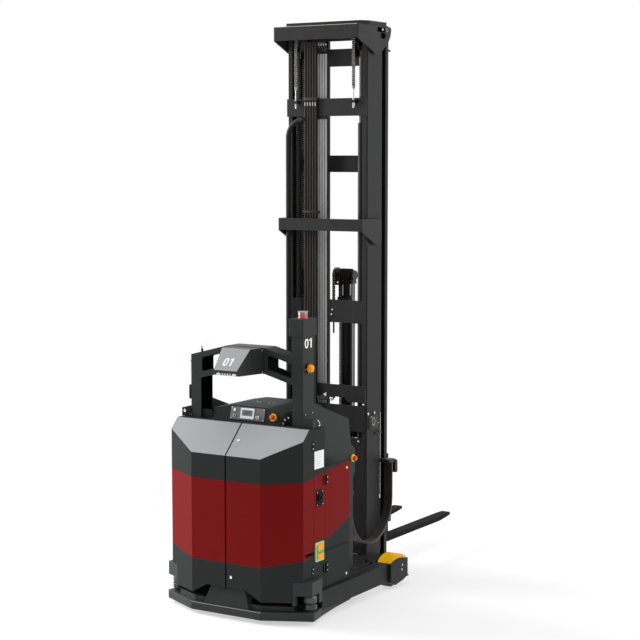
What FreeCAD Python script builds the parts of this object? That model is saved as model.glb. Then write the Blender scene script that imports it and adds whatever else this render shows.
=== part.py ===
"""Automated guided reach truck: a driverless fork-lift robot with a faceted drive housing, a sensor arch,
two outrigger legs and a three-stage mast that reaches back and forth between the legs.

Units are millimetres. X is across the truck, Y runs from the bumper's nose to the fork tips and Z is up.
Every Y below counts from the bumper's nose. save() moves the finished pieces so that the frame's origin
lies on the floor in the middle of the whole length.
"""

import FreeCAD, Part
import math
import os

from FreeCAD import Vector

os.makedirs("parts", exist_ok=True)

# ---------------------------------------------------------------------------------------------------------
# Driving dimensions
# ---------------------------------------------------------------------------------------------------------

# Drive housing
HOUSING_HALF_W = 599.0        # outer face of the doors
FRONT_FLAT_HALF_W = 311.0     # half of the flat front face
DOOR_FRONT_Y = 5.0            # front face of the doors
CHAMFER_DEPTH = 140.0         # how far the angled corner faces run back
DOOR_BOTTOM_Z = 168.0
FACET_FOOT_Z = 1240.0         # where the sloped upper facet starts on the front face
FACET_SLOPE = 0.97            # rise over run of the upper facet
FACET_TOP_Y = 225.0           # where the upper facet ends
DOOR_LEAF = 22.0              # thickness of a folded door leaf
DOOR_REAR_Y = 287.0           # rear edge of the front doors' side flanges
DOOR_GAP = 3.0                # joint between neighbouring doors and panels
SIDE_PANEL_Y0 = 290.0         # fixed narrow side panel
SIDE_PANEL_Y1 = 449.0
SIDE_PANEL_TOP_Z = 1444.0
REAR_DOOR_Y0 = 452.0
REAR_DOOR_Y1 = 811.0
REAR_DOOR_Z0 = 223.0
REAR_DOOR_Z1 = 1144.0
SLOT_Z0 = 500.0               # long recessed slot along the side
SLOT_Z1 = 527.0
SLOT_DEPTH = 9.0
SLOT_FRONT_Y = 176.0
HOUSING_REAR_Y = 1040.0
PANEL_HALF_W = HOUSING_HALF_W - 89.0   # outer face of the inset upper side plates and of the arch posts
PANEL_T = 5.0                 # sheet thickness of covers and plates
NOTCH_TOP_HALF_W = 175.0      # cut-out at the foot of the front doors
NOTCH_BOTTOM_HALF_W = 309.0
NOTCH_TOP_Z = 241.0

# Outrigger legs
LEG_PROUD = 34.0              # how far a leg stands out from the housing
LEG_HALF_W = HOUSING_HALF_W + LEG_PROUD
LEG_WIDTH = 113.0
LEG_INNER_X = LEG_HALF_W - LEG_WIDTH
LEG_WALL = 14.0
LEG_FRONT_Y = 354.0
LEG_REAR_Y = 1349.0
LEG_Z0 = 70.0
LEG_Z1 = 217.0
LOAD_WHEEL_R = 125.0
LOAD_WHEEL_W = 88.0
LOAD_WHEEL_X = LEG_INNER_X + 30.0
LOAD_WHEEL_Y = 1497.0
AXLE_R = 22.0
WHEEL_BOX_X = LEG_HALF_W + 27.0   # outer face of the wheel cheek
WHEEL_BOX_Y0 = 1354.0
WHEEL_BOX_Y1 = 1637.0
RUN_FIT = 0.05                # radial running clearance on shafts
GUARD_RISE = 52.0             # height of the yellow wheel guard over the leg
CHEEK_RISE = 17.0             # crown of the wheel box's outer cheek

# Bumper skirt and corners
BUMPER_PROUD = 37.0           # how far the skirt's corners stand out from the legs
BUMPER_HALF_W = LEG_HALF_W + BUMPER_PROUD
BUMPER_FLAT_HALF_W = FRONT_FLAT_HALF_W + 4.0
BUMPER_CHAMFER_Y = 178.0
BUMPER_Z0 = 32.0
BUMPER_Z1 = 94.0
BUMPER_END_Y = 875.0
CORNER_COVER_X = HOUSING_HALF_W - 74.0   # inner edge of the corner covers, on the angled face
CORNER_COVER_TOP_Z = 324.0
CORNER_COVER_Z0 = 146.0
SCANNER_R = 51.0
SCANNER_X = HOUSING_HALF_W + 1.0
SCANNER_Y = 238.0
SCANNER_Z0 = 97.0

# Drive unit
DRIVE_WHEEL_R = 172.0
DRIVE_WHEEL_W = 120.0
DRIVE_Y = 330.0
STEER_BEARING_Z = 440.0
BEARING_R = 150.0

# Arch
ARCH_Y0 = 284.0               # front face of the posts
POST_W = 92.0
POST_D = 154.0
LEFT_POST_TOP_Z = 1940.0
RIGHT_POST_TOP_Z = 2130.0
CAP_TOP_Z = 2258.0
CAP_FRONT_Y = 275.0
CAP_REAR_Y = 468.0
CAP_HALF_IN_X = 390.0
ARM_TOP_MID_Z = 2028.0        # top of the arch's flat middle
ARM_BOTTOM_END_Z = 1764.0
ARM_BOTTOM_MID_Z = 1831.0
ARM_KNEE_X = 168.0            # where the sloped arms meet the flat middle
DECK_Z = 1453.0               # top deck behind the upper facet

# Console hood
HOOD_HALF_W = 313.0
HOOD_FLAT_HALF_W = 161.0
HOOD_TOP_Z = 1569.0
HOOD_SHOULDER_Z = 1540.0
HOOD_FRONT_Y = 292.0
HOOD_LEAN = 28.0              # how far the console face leans back
HOOD_REAR_Y = 930.0

# Mast: one rolled section for all three stages
RAIL_DEPTH = 236.0
FLANGE_T = 28.0
WEB_T = 14.0
OUTER_RAIL_Y = 1451.0         # front face of the outer rails
OUTER_RAIL_X = 366.0          # outer face of the outer rails' webs
OUTER_FLANGE_W = 36.0
STAGE_STEP_1 = 99.0           # middle stage behind the outer stage
STAGE_STEP_2 = 68.0           # inner stage behind the middle stage
STAGE_GAP = 6.0               # side clearance between nested rails
FLANGE_HALF = 26.0            # flange overhang on each side of a web
MAST_FOOT_Z = 76.0
OUTER_TOP_Z = 4460.0
MIDDLE_TOP_Z = 4464.0
INNER_TOP_Z = 4500.0
SIDE_COVER_T = 6.0
TIE_HALF_W = 395.0            # outer face of the tie brackets
TIE_T = 12.0
REACH_STROKE = 360.0
LIFT_STAGE_STROKE = 3400.0    # travel of each telescopic stage
FREE_LIFT_UP = 3400.0         # fork travel inside the inner stage
FREE_LIFT_DOWN = 190.0        # forks stand this far above their lowest place

# Mast drive
CYL_X = 296.0                 # main lift cylinders
CYL_Y = 1493.0
CYL_R = 28.0
CYL_ROD_R = 18.0
CYL_TOP_Z = 3720.0
CYL_FOOT_Z = 146.0
CHAIN_X = 270.0               # main lift chains
CHAIN_W = 20.0
CHAIN_T = 12.0
CHAIN_FRONT_Y = 1412.0
SHEAVE_R = 57.0
SHEAVE_W = 24.0
SHEAVE_Z = 4385.0
FREE_CYL_Y = 1765.0
FREE_CYL_R = 45.0
FREE_ROD_R = 31.0
FREE_CYL_TOP_Z = 2310.0
FREE_SHEAVE_Z = 2480.0
FREE_SHEAVE_R = 56.0

# Fork carriage and forks
FORK_OUT_X = 295.0
FORK_W = 100.0
FORK_T = 40.0
FORK_SHANK_Y = 1912.0
FORK_TIP_Y = 3108.0
FORK_Z = 243.0                # underside of the blades
FORK_TIP_LENGTH = 225.0
SHANK_TOP_Z = 990.0
CARRIAGE_HALF_W = 405.0
LOWER_BAR_HALF_W = 345.0
BAR_T = 38.0
BAR_H = 100.0
UPPER_BAR_Z = 852.0
LOWER_BAR_Z = 430.0

# Cable band between housing and mast
BAND_X0 = 376.0
BAND_W = 80.0
BAND_T = 20.0
BAND_R = 322.0                # centre-line radius of the hanging loop
BAND_MAST_Y = 1737.0
BAND_TOP_Z = 968.0
BAND_LOOP_Z = 680.0           # centre height of the loop
BAND_HOUSE_RISE = 128.0       # straight run from the loop up to the housing

FRAME_Y = FORK_TIP_Y / 2      # the frame's origin, measured from the bumper's nose


# ---------------------------------------------------------------------------------------------------------
# Helpers
# ---------------------------------------------------------------------------------------------------------

def save(name, shape):
    """Move a finished piece into the row's frame and write it."""
    placed = shape.copy()
    placed.translate(Vector(0, -FRAME_Y, 0))
    if placed.ShapeType != "Compound" and len(placed.Solids) == 1:
        placed = placed.Solids[0]
    placed.exportStep(f"parts/{name}.step")


def box(x0, x1, y0, y1, z0, z1):
    return Part.makeBox(x1 - x0, y1 - y0, z1 - z0, Vector(x0, y0, z0))


def prism(axis, lo, hi, *points):
    """Extrude a closed outline along an axis. The points are (Y, Z), (X, Z) or (X, Y)."""
    place = {
        "x": lambda a, b: Vector(lo, a, b),
        "y": lambda a, b: Vector(a, lo, b),
        "z": lambda a, b: Vector(a, b, lo),
    }[axis]
    way = {"x": Vector(1, 0, 0), "y": Vector(0, 1, 0), "z": Vector(0, 0, 1)}[axis]
    corners = [place(a, b) for a, b in points]
    return Part.Face(Part.makePolygon(corners + corners[:1])).extrude(way * (hi - lo))


def cyl(axis, x, y, z, r, length):
    way = {"x": Vector(1, 0, 0), "y": Vector(0, 1, 0), "z": Vector(0, 0, 1)}[axis]
    return Part.makeCylinder(r, length, Vector(x, y, z), way)


def tube(axis, x, y, z, r_out, r_in, length):
    return cyl(axis, x, y, z, r_out, length).cut(cyl(axis, x, y, z, r_in, length))


def fuse(first, *rest):
    return first.multiFuse(list(rest)).removeSplitter()


def cut(shape, *tools):
    return shape.cut(list(tools)).removeSplitter()


def mirrored(shape):
    return shape.mirror(Vector(0, 0, 0), Vector(1, 0, 0))


def both(shape):
    """A right-hand piece and its left-hand twin."""
    return Part.makeCompound([shape, mirrored(shape)])


def group(*shapes):
    return Part.makeCompound(list(shapes))


def fillet_along(shape, axis, radius, keep):
    """Round the straight edges that run along an axis and for which keep(midpoint) is true."""
    way = {"x": Vector(1, 0, 0), "y": Vector(0, 1, 0), "z": Vector(0, 0, 1)}[axis]
    edges = []
    for edge in shape.Edges:
        if not isinstance(edge.Curve, (Part.Line, Part.LineSegment)):
            continue
        a, b = edge.Vertexes[0].Point, edge.Vertexes[-1].Point
        run = b.sub(a)
        if run.Length > 1e-6 and abs(run.dot(way)) > 0.999 * run.Length and keep((a + b) * 0.5):
            edges.append(edge)
    return shape.makeFillet(radius, edges) if edges else shape


def ribbon(axis_lo, axis_hi, thickness, *wire_parts):
    """A strip of constant thickness whose centre line lies in the YZ plane, as wide as axis_lo..axis_hi."""
    solids = [part(axis_lo, axis_hi, thickness) for part in wire_parts]
    return fuse(*solids) if len(solids) > 1 else solids[0]


def run_z(y, z0, z1):
    """A straight upright stretch of a ribbon."""
    return lambda lo, hi, t: box(lo, hi, y - t / 2, y + t / 2, z0, z1)


def bend(y, z, radius, start_deg, sweep_deg):
    """An arc of a ribbon about the point (y, z); 0 degrees points along +Y."""
    def build(lo, hi, t):
        outer = Part.makeCylinder(radius + t / 2, hi - lo, Vector(lo, y, z), Vector(1, 0, 0), 360)
        inner = Part.makeCylinder(radius - t / 2, hi - lo, Vector(lo, y, z), Vector(1, 0, 0), 360)
        ring = outer.cut(inner)
        reach = 2 * (radius + t)
        steps = max(1, round(abs(sweep_deg) / 60))
        corners = [(y, z)]
        for i in range(steps + 1):
            angle = math.radians(start_deg + sweep_deg * i / steps)
            corners.append((y + reach * math.cos(angle), z + reach * math.sin(angle)))
        return ring.common(prism("x", lo, hi, *corners))
    return build


# ---------------------------------------------------------------------------------------------------------
# Housing outline
# ---------------------------------------------------------------------------------------------------------

CHAMFER_Y = DOOR_FRONT_Y + CHAMFER_DEPTH
CHAMFER_DX = HOUSING_HALF_W - FRONT_FLAT_HALF_W
CHAMFER_LENGTH = math.hypot(CHAMFER_DX, CHAMFER_DEPTH)
FACET_TOP_Z = FACET_FOOT_Z + FACET_SLOPE * (FACET_TOP_Y - DOOR_FRONT_Y)


def chamfer_y(x):
    """Y of the angled corner face at a distance x from the middle."""
    return DOOR_FRONT_Y + (x - FRONT_FLAT_HALF_W) * CHAMFER_DEPTH / CHAMFER_DX


def half_outline(inset, x_in, y_rear):
    """Right half of the housing outline, moved inwards by inset, from x_in to the side and back to y_rear."""
    front = DOOR_FRONT_Y + inset
    side = HOUSING_HALF_W - inset
    # the offset corner face keeps its distance from the outer one
    slope = CHAMFER_DEPTH / CHAMFER_DX
    lift = inset * CHAMFER_LENGTH / CHAMFER_DX
    knee_x = FRONT_FLAT_HALF_W + (inset - lift) / slope
    corner_y = DOOR_FRONT_Y + (side - FRONT_FLAT_HALF_W) * slope + lift
    return [(x_in, front), (knee_x, front), (side, corner_y), (side, y_rear), (x_in, y_rear)]


def under_facet(x0, x1, y0, y1, drop):
    """Everything below the sloped upper facet, lowered by drop, between the given limits."""
    foot = FACET_FOOT_Z - drop
    top = foot + FACET_SLOPE * (FACET_TOP_Y - DOOR_FRONT_Y)
    low_y = DOOR_FRONT_Y - 400
    low_z = foot - FACET_SLOPE * 400
    return prism("x", x0, x1, (low_y, 0), (low_y, low_z), (FACET_TOP_Y, top), (y1, top), (y1, 0))


# ---------------------------------------------------------------------------------------------------------
# Housing pieces
# ---------------------------------------------------------------------------------------------------------

DOOR_HINGE_X = HOUSING_HALF_W + 6
DOOR_HINGE_Y = DOOR_REAR_Y + DOOR_GAP / 2
DOOR_SWING_R = DOOR_GAP + math.hypot(CORNER_COVER_X - DOOR_HINGE_X, chamfer_y(CORNER_COVER_X) - DOOR_HINGE_Y)
FACET_DROP = DOOR_LEAF * math.hypot(1, FACET_SLOPE)
CORNER_CUT_Z = CORNER_COVER_TOP_Z + DOOR_GAP


def front_door():
    """Right-hand front door: a folded leaf with its upper facet, corner face and side flange in one."""
    top = FACET_TOP_Z + 10
    outer = prism("z", DOOR_BOTTOM_Z, top, *half_outline(0, DOOR_GAP / 2, DOOR_REAR_Y))
    outer = outer.common(under_facet(0, HOUSING_HALF_W + 50, 0, DOOR_REAR_Y + 1, 0))
    inner = prism("z", DOOR_BOTTOM_Z - 1, top, *half_outline(DOOR_LEAF, -50, DOOR_REAR_Y + 1))
    inner = inner.common(under_facet(-60, HOUSING_HALF_W + 50, 0, DOOR_REAR_Y + 2, FACET_DROP))
    leaf = cut(outer, inner)
    # the facet ends on top; behind its edge only the side flange goes on
    leaf = cut(leaf, box(-1, HOUSING_HALF_W - DOOR_LEAF, FACET_TOP_Y, DOOR_REAR_Y + 1, DOOR_BOTTOM_Z - 1, top + 1))
    notch = prism("y", -10, 60, (-1, 0), (-1, NOTCH_TOP_Z), (NOTCH_TOP_HALF_W, NOTCH_TOP_Z),
                  (NOTCH_BOTTOM_HALF_W, DOOR_BOTTOM_Z), (NOTCH_BOTTOM_HALF_W, 0))
    # the foot of the door is cut round its hinge so that it swings clear of the corner cover
    corner = cyl("z", DOOR_HINGE_X, DOOR_HINGE_Y, 0, DOOR_SWING_R, CORNER_CUT_Z)
    slot = box(HOUSING_HALF_W - SLOT_DEPTH, HOUSING_HALF_W + 10, SLOT_FRONT_Y + (SLOT_Z1 - SLOT_Z0) / 2,
               DOOR_REAR_Y + 10, SLOT_Z0, SLOT_Z1)
    slot_end = cyl("x", HOUSING_HALF_W - SLOT_DEPTH, SLOT_FRONT_Y + (SLOT_Z1 - SLOT_Z0) / 2,
                   (SLOT_Z0 + SLOT_Z1) / 2, (SLOT_Z1 - SLOT_Z0) / 2, SLOT_DEPTH + 10)
    return cut(leaf, notch, corner, slot, slot_end)


def side_panel():
    """Fixed narrow panel between the front door and the rear door, with the slot and the hinge blocks."""
    x0 = HOUSING_HALF_W - DOOR_LEAF
    panel = box(x0, HOUSING_HALF_W, SIDE_PANEL_Y0, SIDE_PANEL_Y1, LEG_Z1 + 4, SIDE_PANEL_TOP_Z)
    panel = cut(panel, box(HOUSING_HALF_W - SLOT_DEPTH, HOUSING_HALF_W + 10, SIDE_PANEL_Y0 - 5, SIDE_PANEL_Y1 + 5,
                           SLOT_Z0, SLOT_Z1))
    blocks = []
    for z in HINGE_Z:
        blocks.append(box(HOUSING_HALF_W, HOUSING_HALF_W + 7, REAR_DOOR_Y0 - 28, REAR_DOOR_Y0 - 8, z - 33, z + 33))
    return fuse(panel, *blocks)


HINGE_Z = (374.0, 1044.0)
HINGE_R = 6.0
HINGE_X = HOUSING_HALF_W + HINGE_R + 1


def rear_door():
    """Right-hand rear door, hinged on the narrow panel. It carries the hinge barrels."""
    x0 = HOUSING_HALF_W - DOOR_LEAF
    leaf = box(x0, HOUSING_HALF_W, REAR_DOOR_Y0, REAR_DOOR_Y1, REAR_DOOR_Z0, REAR_DOOR_Z1)
    leaf = cut(leaf, box(HOUSING_HALF_W - SLOT_DEPTH, HOUSING_HALF_W + 10, REAR_DOOR_Y0 - 5, REAR_DOOR_Y1 + 5,
                         SLOT_Z0, SLOT_Z1))
    parts = [leaf]
    for z in HINGE_Z:
        parts.append(cyl("z", HINGE_X, REAR_DOOR_Y0 - 1, z - 33, HINGE_R, 66))
        parts.append(box(HOUSING_HALF_W, HOUSING_HALF_W + 7, REAR_DOOR_Y0 - 1, REAR_DOOR_Y0 + 30, z - 33, z + 33))
    return fuse(*parts)


REAR_FLOOR_Y = 520.0
REAR_DECK_Y = SIDE_PANEL_Y1 + 22
REAR_WALL_Y = HOUSING_REAR_Y - 30
REAR_STEP_Z = 1183.0          # where the rear cover steps in under its slope
FIN_RISE = 160.0              # how far the side plates rise behind the arch posts


def chassis_frame():
    """Welded frame: front floor with the wheel well, raised rear floor, bulkheads, posts, deck and nose."""
    inset = DOOR_LEAF + 4
    outline = half_outline(inset, 0, REAR_FLOOR_Y)
    floor = prism("z", BUMPER_Z1, BUMPER_Z1 + 40, *outline)
    floor = floor.common(box(0, LEG_INNER_X - 4, 0, REAR_FLOOR_Y, 0, 300))
    rear_floor = box(0, HOUSING_HALF_W - inset, REAR_FLOOR_Y - 12, REAR_WALL_Y, LEG_Z1, LEG_Z1 + 16)
    step = box(0, LEG_INNER_X - 4, REAR_FLOOR_Y - 12, REAR_FLOOR_Y, BUMPER_Z1, LEG_Z1 + 16)
    bulkhead = box(0, HOUSING_HALF_W - inset, SIDE_PANEL_Y1 + 10, SIDE_PANEL_Y1 + 22, LEG_Z1 + 16, DECK_Z - 12)
    tie_down = box(0, LEG_INNER_X - 4, SIDE_PANEL_Y1 + 10, SIDE_PANEL_Y1 + 22, BUMPER_Z1, LEG_Z1 + 17)
    post = box(HOUSING_HALF_W - inset - 46, HOUSING_HALF_W - inset, SIDE_PANEL_Y0 + 2, SIDE_PANEL_Y1 - 60,
               LEG_Z1, DECK_Z - 12)
    post_foot = box(HOUSING_HALF_W - inset - 60, HOUSING_HALF_W - inset, LEG_FRONT_Y + 2, REAR_FLOOR_Y,
                    LEG_Z1, LEG_Z1 + 16)
    deck_front = FACET_TOP_Y + DOOR_GAP
    deck = box(0, HOUSING_HALF_W - inset, deck_front, REAR_DECK_Y, DECK_Z - 12, DECK_Z)
    half = fuse(floor, rear_floor, step, bulkhead, tie_down, post, post_foot, deck)
    well = cyl("z", 0, DRIVE_Y, 0, DRIVE_WHEEL_R + 42, 400)
    half = cut(half, well, cyl("z", 0, DRIVE_Y, STEER_BEARING_Z, BEARING_R + 8, 30))
    frame = fuse(half, mirrored(half))
    mount = tube("z", 0, DRIVE_Y, STEER_BEARING_Z - 16, 190, 122, 16)
    arms = box(-HOUSING_HALF_W + inset + 46, HOUSING_HALF_W - inset - 46, DRIVE_Y + 60, SIDE_PANEL_Y1 + 12,
               STEER_BEARING_Z - 46, STEER_BEARING_Z - 16)
    arms = cut(arms, cyl("z", 0, DRIVE_Y, 0, 168, 2000))
    wings = box(-HOUSING_HALF_W + inset + 20, HOUSING_HALF_W - inset - 20, DRIVE_Y + 60, DRIVE_Y + 90,
                STEER_BEARING_Z - 46, STEER_BEARING_Z - 16)
    wings = cut(wings, cyl("z", 0, DRIVE_Y, 0, 168, 2000))
    return fuse(frame, mount, arms, wings)


NOSE_Y = 8.0


def nose():
    """The sloped nose that shows through the cut-out at the foot of the front doors."""
    def ring(z, half_w, y_front):
        corners = [Vector(-half_w, y_front, z), Vector(half_w, y_front, z), Vector(half_w + 40, 130, z),
                   Vector(-half_w - 40, 130, z)]
        return Part.makePolygon(corners + corners[:1])
    rise = Part.makeLoft([ring(BUMPER_Z1, 205, NOSE_Y), ring(NOTCH_TOP_Z - 2, 152, NOSE_Y + 22)], True, True)
    return cut(rise, box(-400, 400, 60, 200, BUMPER_Z1 - 1, NOTCH_TOP_Z + 10))


def bumper():
    """Skirt plate around the front, drawn in under the legs at the back."""
    front = [(0, 0), (BUMPER_FLAT_HALF_W, 0), (BUMPER_HALF_W, BUMPER_CHAMFER_Y), (LEG_HALF_W, LEG_FRONT_Y - 2),
             (0, LEG_FRONT_Y - 2)]
    upper = prism("z", BUMPER_Z0, BUMPER_Z1, *front)
    tail_y = (LEG_FRONT_Y + BUMPER_END_Y) / 2
    tail = prism("z", BUMPER_Z0, LEG_Z0, (LEG_INNER_X, LEG_FRONT_Y - 3), (LEG_HALF_W, LEG_FRONT_Y - 3),
                 (LEG_HALF_W - 40, tail_y), (LEG_HALF_W - 64, BUMPER_END_Y), (LEG_INNER_X, BUMPER_END_Y))
    half = fuse(upper, tail)
    whole = fuse(half, mirrored(half))
    opening = cyl("z", 0, DRIVE_Y, 0, DRIVE_WHEEL_R + 42, 200)
    hollow = box(-LEG_INNER_X + 30, LEG_INNER_X - 30, 120, LEG_FRONT_Y + 10, 0, BUMPER_Z1 - 14)
    return fillet_along(cut(whole, opening, hollow), "z", 14,
                        lambda p: abs(abs(p.x) - BUMPER_HALF_W) < 1 or (p.y < 1 and abs(p.x) > 100))


def corner_cover():
    """Right-hand corner cover above the safety scanner. It continues the door's corner face out to the leg."""
    tip_x = BUMPER_HALF_W - 12
    inner_x = HOUSING_HALF_W - DOOR_LEAF
    y0 = chamfer_y(CORNER_COVER_X)
    outline = [(CORNER_COVER_X, y0), (tip_x, chamfer_y(tip_x)), (LEG_HALF_W + 2, LEG_FRONT_Y - 2),
               (HOUSING_HALF_W + 1, LEG_FRONT_Y - 2), (HOUSING_HALF_W + 1, SIDE_PANEL_Y0 - 1), (inner_x, SIDE_PANEL_Y0 - 1),
               (inner_x, y0 + 50), (CORNER_COVER_X, y0 + 40)]
    cover = prism("z", CORNER_COVER_Z0, CORNER_COVER_TOP_Z, *outline)
    window = cyl("z", SCANNER_X, SCANNER_Y, 0, SCANNER_R + 8, SCANNER_TOP_Z + 8)
    mouth = prism("z", 0, SCANNER_TOP_Z + 8, (SCANNER_X - 58, SCANNER_Y), (SCANNER_X - 58, SCANNER_Y - 200),
                  (SCANNER_X + 200, SCANNER_Y - 200), (SCANNER_X + 200, SCANNER_Y + 59), (SCANNER_X, SCANNER_Y + 59))
    return cut(cover, window, mouth)


SCANNER_TOP_Z = SCANNER_Z0 + 116


def corner_scanner():
    """Safety laser scanner: a bowed window between a foot and a domed head."""
    r = SCANNER_R
    points = [(0, 0), (r * 0.72, 0), (r, 16), (r, 30), (r * 0.82, 44), (r * 0.8, 52), (r * 0.98, 66),
              (r, 100), (r * 0.88, 113), (0, 116)]
    wire = Part.makePolygon([Vector(a, 0, SCANNER_Z0 + b) for a, b in points + points[:1]])
    head = Part.Face(wire).revolve(Vector(0, 0, 0), Vector(0, 0, 1), 360)
    head.translate(Vector(SCANNER_X, SCANNER_Y, 0))
    foot = box(SCANNER_X - 30, SCANNER_X + 30, SCANNER_Y - 30, SCANNER_Y + 30, BUMPER_Z1, SCANNER_Z0 + 4)
    return fuse(head, foot)


def rear_housing():
    """Rear cover: two inset side plates with a folded deck and back wall between them."""
    z0 = LEG_Z1 + 17
    back = [(HOUSING_REAR_Y - 96, DECK_Z - 19), (HOUSING_REAR_Y - 63, REAR_STEP_Z + 55),
            (HOUSING_REAR_Y, REAR_STEP_Z), (HOUSING_REAR_Y, REAR_STEP_Z - 168), (REAR_WALL_Y, REAR_STEP_Z - 223)]
    side_outline = [(ARCH_Y1, DECK_Z), (ARCH_Y1, DECK_Z + FIN_RISE), *back, (REAR_WALL_Y, z0), (REAR_FLOOR_Y, z0),
                    (REAR_FLOOR_Y, DECK_Z)]
    side = prism("x", PANEL_HALF_W - PANEL_T, PANEL_HALF_W, *side_outline)
    side = cut(side, cyl("x", 0, ESTOP_SIDE_Y, ESTOP_SIDE_Z, ESTOP_STEM_R + BUTTON_FIT, HOUSING_HALF_W))
    # the folded skin lies a little inside the edges of the side plates
    deck_end = HOUSING_REAR_Y - 150
    outer = [(y - 2, z - 1) for y, z in back]
    inner = [(y - 2 - PANEL_T, z - 1 - PANEL_T / 2) for y, z in reversed(back)]
    skin = [(REAR_DECK_Y, DECK_Z), (deck_end, DECK_Z), *outer, (REAR_WALL_Y - 2, z0 + 1),
            (REAR_WALL_Y - 2 - PANEL_T, z0 + 1), *inner, (deck_end - 2, DECK_Z - PANEL_T), (REAR_DECK_Y, DECK_Z - PANEL_T)]
    wall = prism("x", 1 - PANEL_HALF_W, PANEL_HALF_W - 1, *skin)
    y_end = BAND_MAST_Y - 2 * BAND_R + BAND_T / 2
    z_end = BAND_LOOP_Z + BAND_HOUSE_RISE
    clamp = box(BAND_X0 - 4, BAND_X0 + BAND_W + 8, REAR_WALL_Y - 4, y_end, z_end, z_end + 22)
    return fuse(side, mirrored(side), wall, clamp)


def hood():
    """Console hood: a shallow trough with a leaning control face, open underneath."""
    outline = [(-HOOD_HALF_W, DECK_Z), (-HOOD_HALF_W, HOOD_SHOULDER_Z), (-HOOD_FLAT_HALF_W, HOOD_TOP_Z),
               (HOOD_FLAT_HALF_W, HOOD_TOP_Z), (HOOD_HALF_W, HOOD_SHOULDER_Z), (HOOD_HALF_W, DECK_Z)]
    body = prism("y", HOOD_FRONT_Y - 4, HOOD_REAR_Y, *outline)
    lean = prism("x", -HOOD_HALF_W - 1, HOOD_HALF_W + 1, (HOOD_FRONT_Y - 10, DECK_Z - 1), (HOOD_FRONT_Y, DECK_Z - 1),
                 (HOOD_FRONT_Y + HOOD_LEAN + 1, HOOD_TOP_Z + 4), (HOOD_FRONT_Y - 10, HOOD_TOP_Z + 4))
    back = prism("x", -HOOD_HALF_W - 1, HOOD_HALF_W + 1, (HOOD_REAR_Y + 1, HOOD_TOP_Z + 1),
                 (HOOD_REAR_Y - 120, HOOD_TOP_Z + 1), (HOOD_REAR_Y + 1, DECK_Z + 30))
    body = cut(body, lean, back)
    t = PANEL_T
    inner_outline = [(-HOOD_HALF_W + t, DECK_Z - 1), (-HOOD_HALF_W + t, HOOD_SHOULDER_Z - t),
                     (-HOOD_FLAT_HALF_W, HOOD_TOP_Z - t), (HOOD_FLAT_HALF_W, HOOD_TOP_Z - t),
                     (HOOD_HALF_W - t, HOOD_SHOULDER_Z - t), (HOOD_HALF_W - t, DECK_Z - 1)]
    inner = prism("y", HOOD_FRONT_Y + HOOD_LEAN + 46, HOOD_REAR_Y - 130, *inner_outline)
    pockets = [cyl("y", x, -1, z, r, 9) for x, z, r in CONTROL_HOLES[:2]]
    pockets.append(cyl("y", ESTOP_CONSOLE_X, -1, ESTOP_CONSOLE_Z, ESTOP_STEM_R + BUTTON_FIT, 11))
    return cut(body, inner, *[on_console(pocket) for pocket in pockets])


FACE_TILT = math.degrees(math.atan2(HOOD_LEAN, HOOD_TOP_Z - DECK_Z))


def on_console(shape):
    """Place a piece drawn on the plane y = 0 (front towards -Y, z = 0 at the deck) onto the leaning console face."""
    moved = shape.copy()
    moved.rotate(Vector(0, 0, 0), Vector(1, 0, 0), -FACE_TILT)
    moved.translate(Vector(0, HOOD_FRONT_Y, DECK_Z))
    return moved


PLATE_T = 3.0


def control_plate():
    half = HOOD_FLAT_HALF_W - 6
    plate = box(-half, half, -PLATE_T, 0, 14, 110)
    plate = fillet_along(plate, "y", 12, lambda p: True)
    plate = cut(plate, *(cyl("y", x, -PLATE_T - 1, z, r, PLATE_T + 2) for x, z, r in CONTROL_HOLES))
    plate = cut(plate, box(DISPLAY_X0 + 10, DISPLAY_X1 - 10, -PLATE_T - 1, 1, DISPLAY_Z0 + 14, DISPLAY_Z1 - 12))
    return on_console(plate)


BUTTON_R = 9.0
BUTTON_X = -118.0
BUTTON_WHITE_Z = 85.0
BUTTON_BLUE_Z = 40.0
KEY_X = 92.0
KEY_Z = 40.0
KEY_R = 10.0
BUTTON_FIT = 0.3
BUTTON_PROUD = 7.0
BUTTON_TRAVEL = 4.0
DISPLAY_X0 = -62.0
DISPLAY_X1 = 60.0
DISPLAY_Z0 = 24.0
DISPLAY_Z1 = 104.0
CONTROL_HOLES = ((BUTTON_X, BUTTON_WHITE_Z, BUTTON_R + BUTTON_FIT), (BUTTON_X, BUTTON_BLUE_Z, BUTTON_R + BUTTON_FIT),
                 (KEY_X, KEY_Z, KEY_R + BUTTON_FIT))


def display():
    """Operator display: a raised bezel around a screen that fills the plate's cut-out."""
    bezel = box(DISPLAY_X0, DISPLAY_X1, -PLATE_T - 4, -PLATE_T, DISPLAY_Z0, DISPLAY_Z1)
    bezel = fillet_along(bezel, "y", 4, lambda p: True)
    bezel = cut(bezel, box(DISPLAY_X0 + 12, DISPLAY_X1 - 12, -PLATE_T - 5, -PLATE_T - 2, DISPLAY_Z0 + 20,
                           DISPLAY_Z1 - 14))
    return on_console(bezel)


def push_button(x, z):
    cap = cyl("y", x, -PLATE_T - BUTTON_PROUD, z, BUTTON_R, BUTTON_PROUD + PLATE_T - 0.5)
    return on_console(cap)


def key_switch():
    barrel = cyl("y", KEY_X, -PLATE_T - 6, KEY_Z, KEY_R, 6 + PLATE_T - 0.5)
    key = box(KEY_X - 1.5, KEY_X + 1.5, -PLATE_T - 28, -PLATE_T - 5, KEY_Z - 10, KEY_Z + 10)
    return on_console(fuse(barrel, key))


ESTOP_RING_R = 30.0
ESTOP_HEAD_R = 20.0
ESTOP_STEM_R = 11.0
ESTOP_RING_T = 12.0
ESTOP_TRAVEL = 6.0
ESTOP_CONSOLE_X = 236.0
ESTOP_CONSOLE_Z = 52.0
ESTOP_SIDE_Y = 1003.0
ESTOP_SIDE_Z = 1116.0


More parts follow.
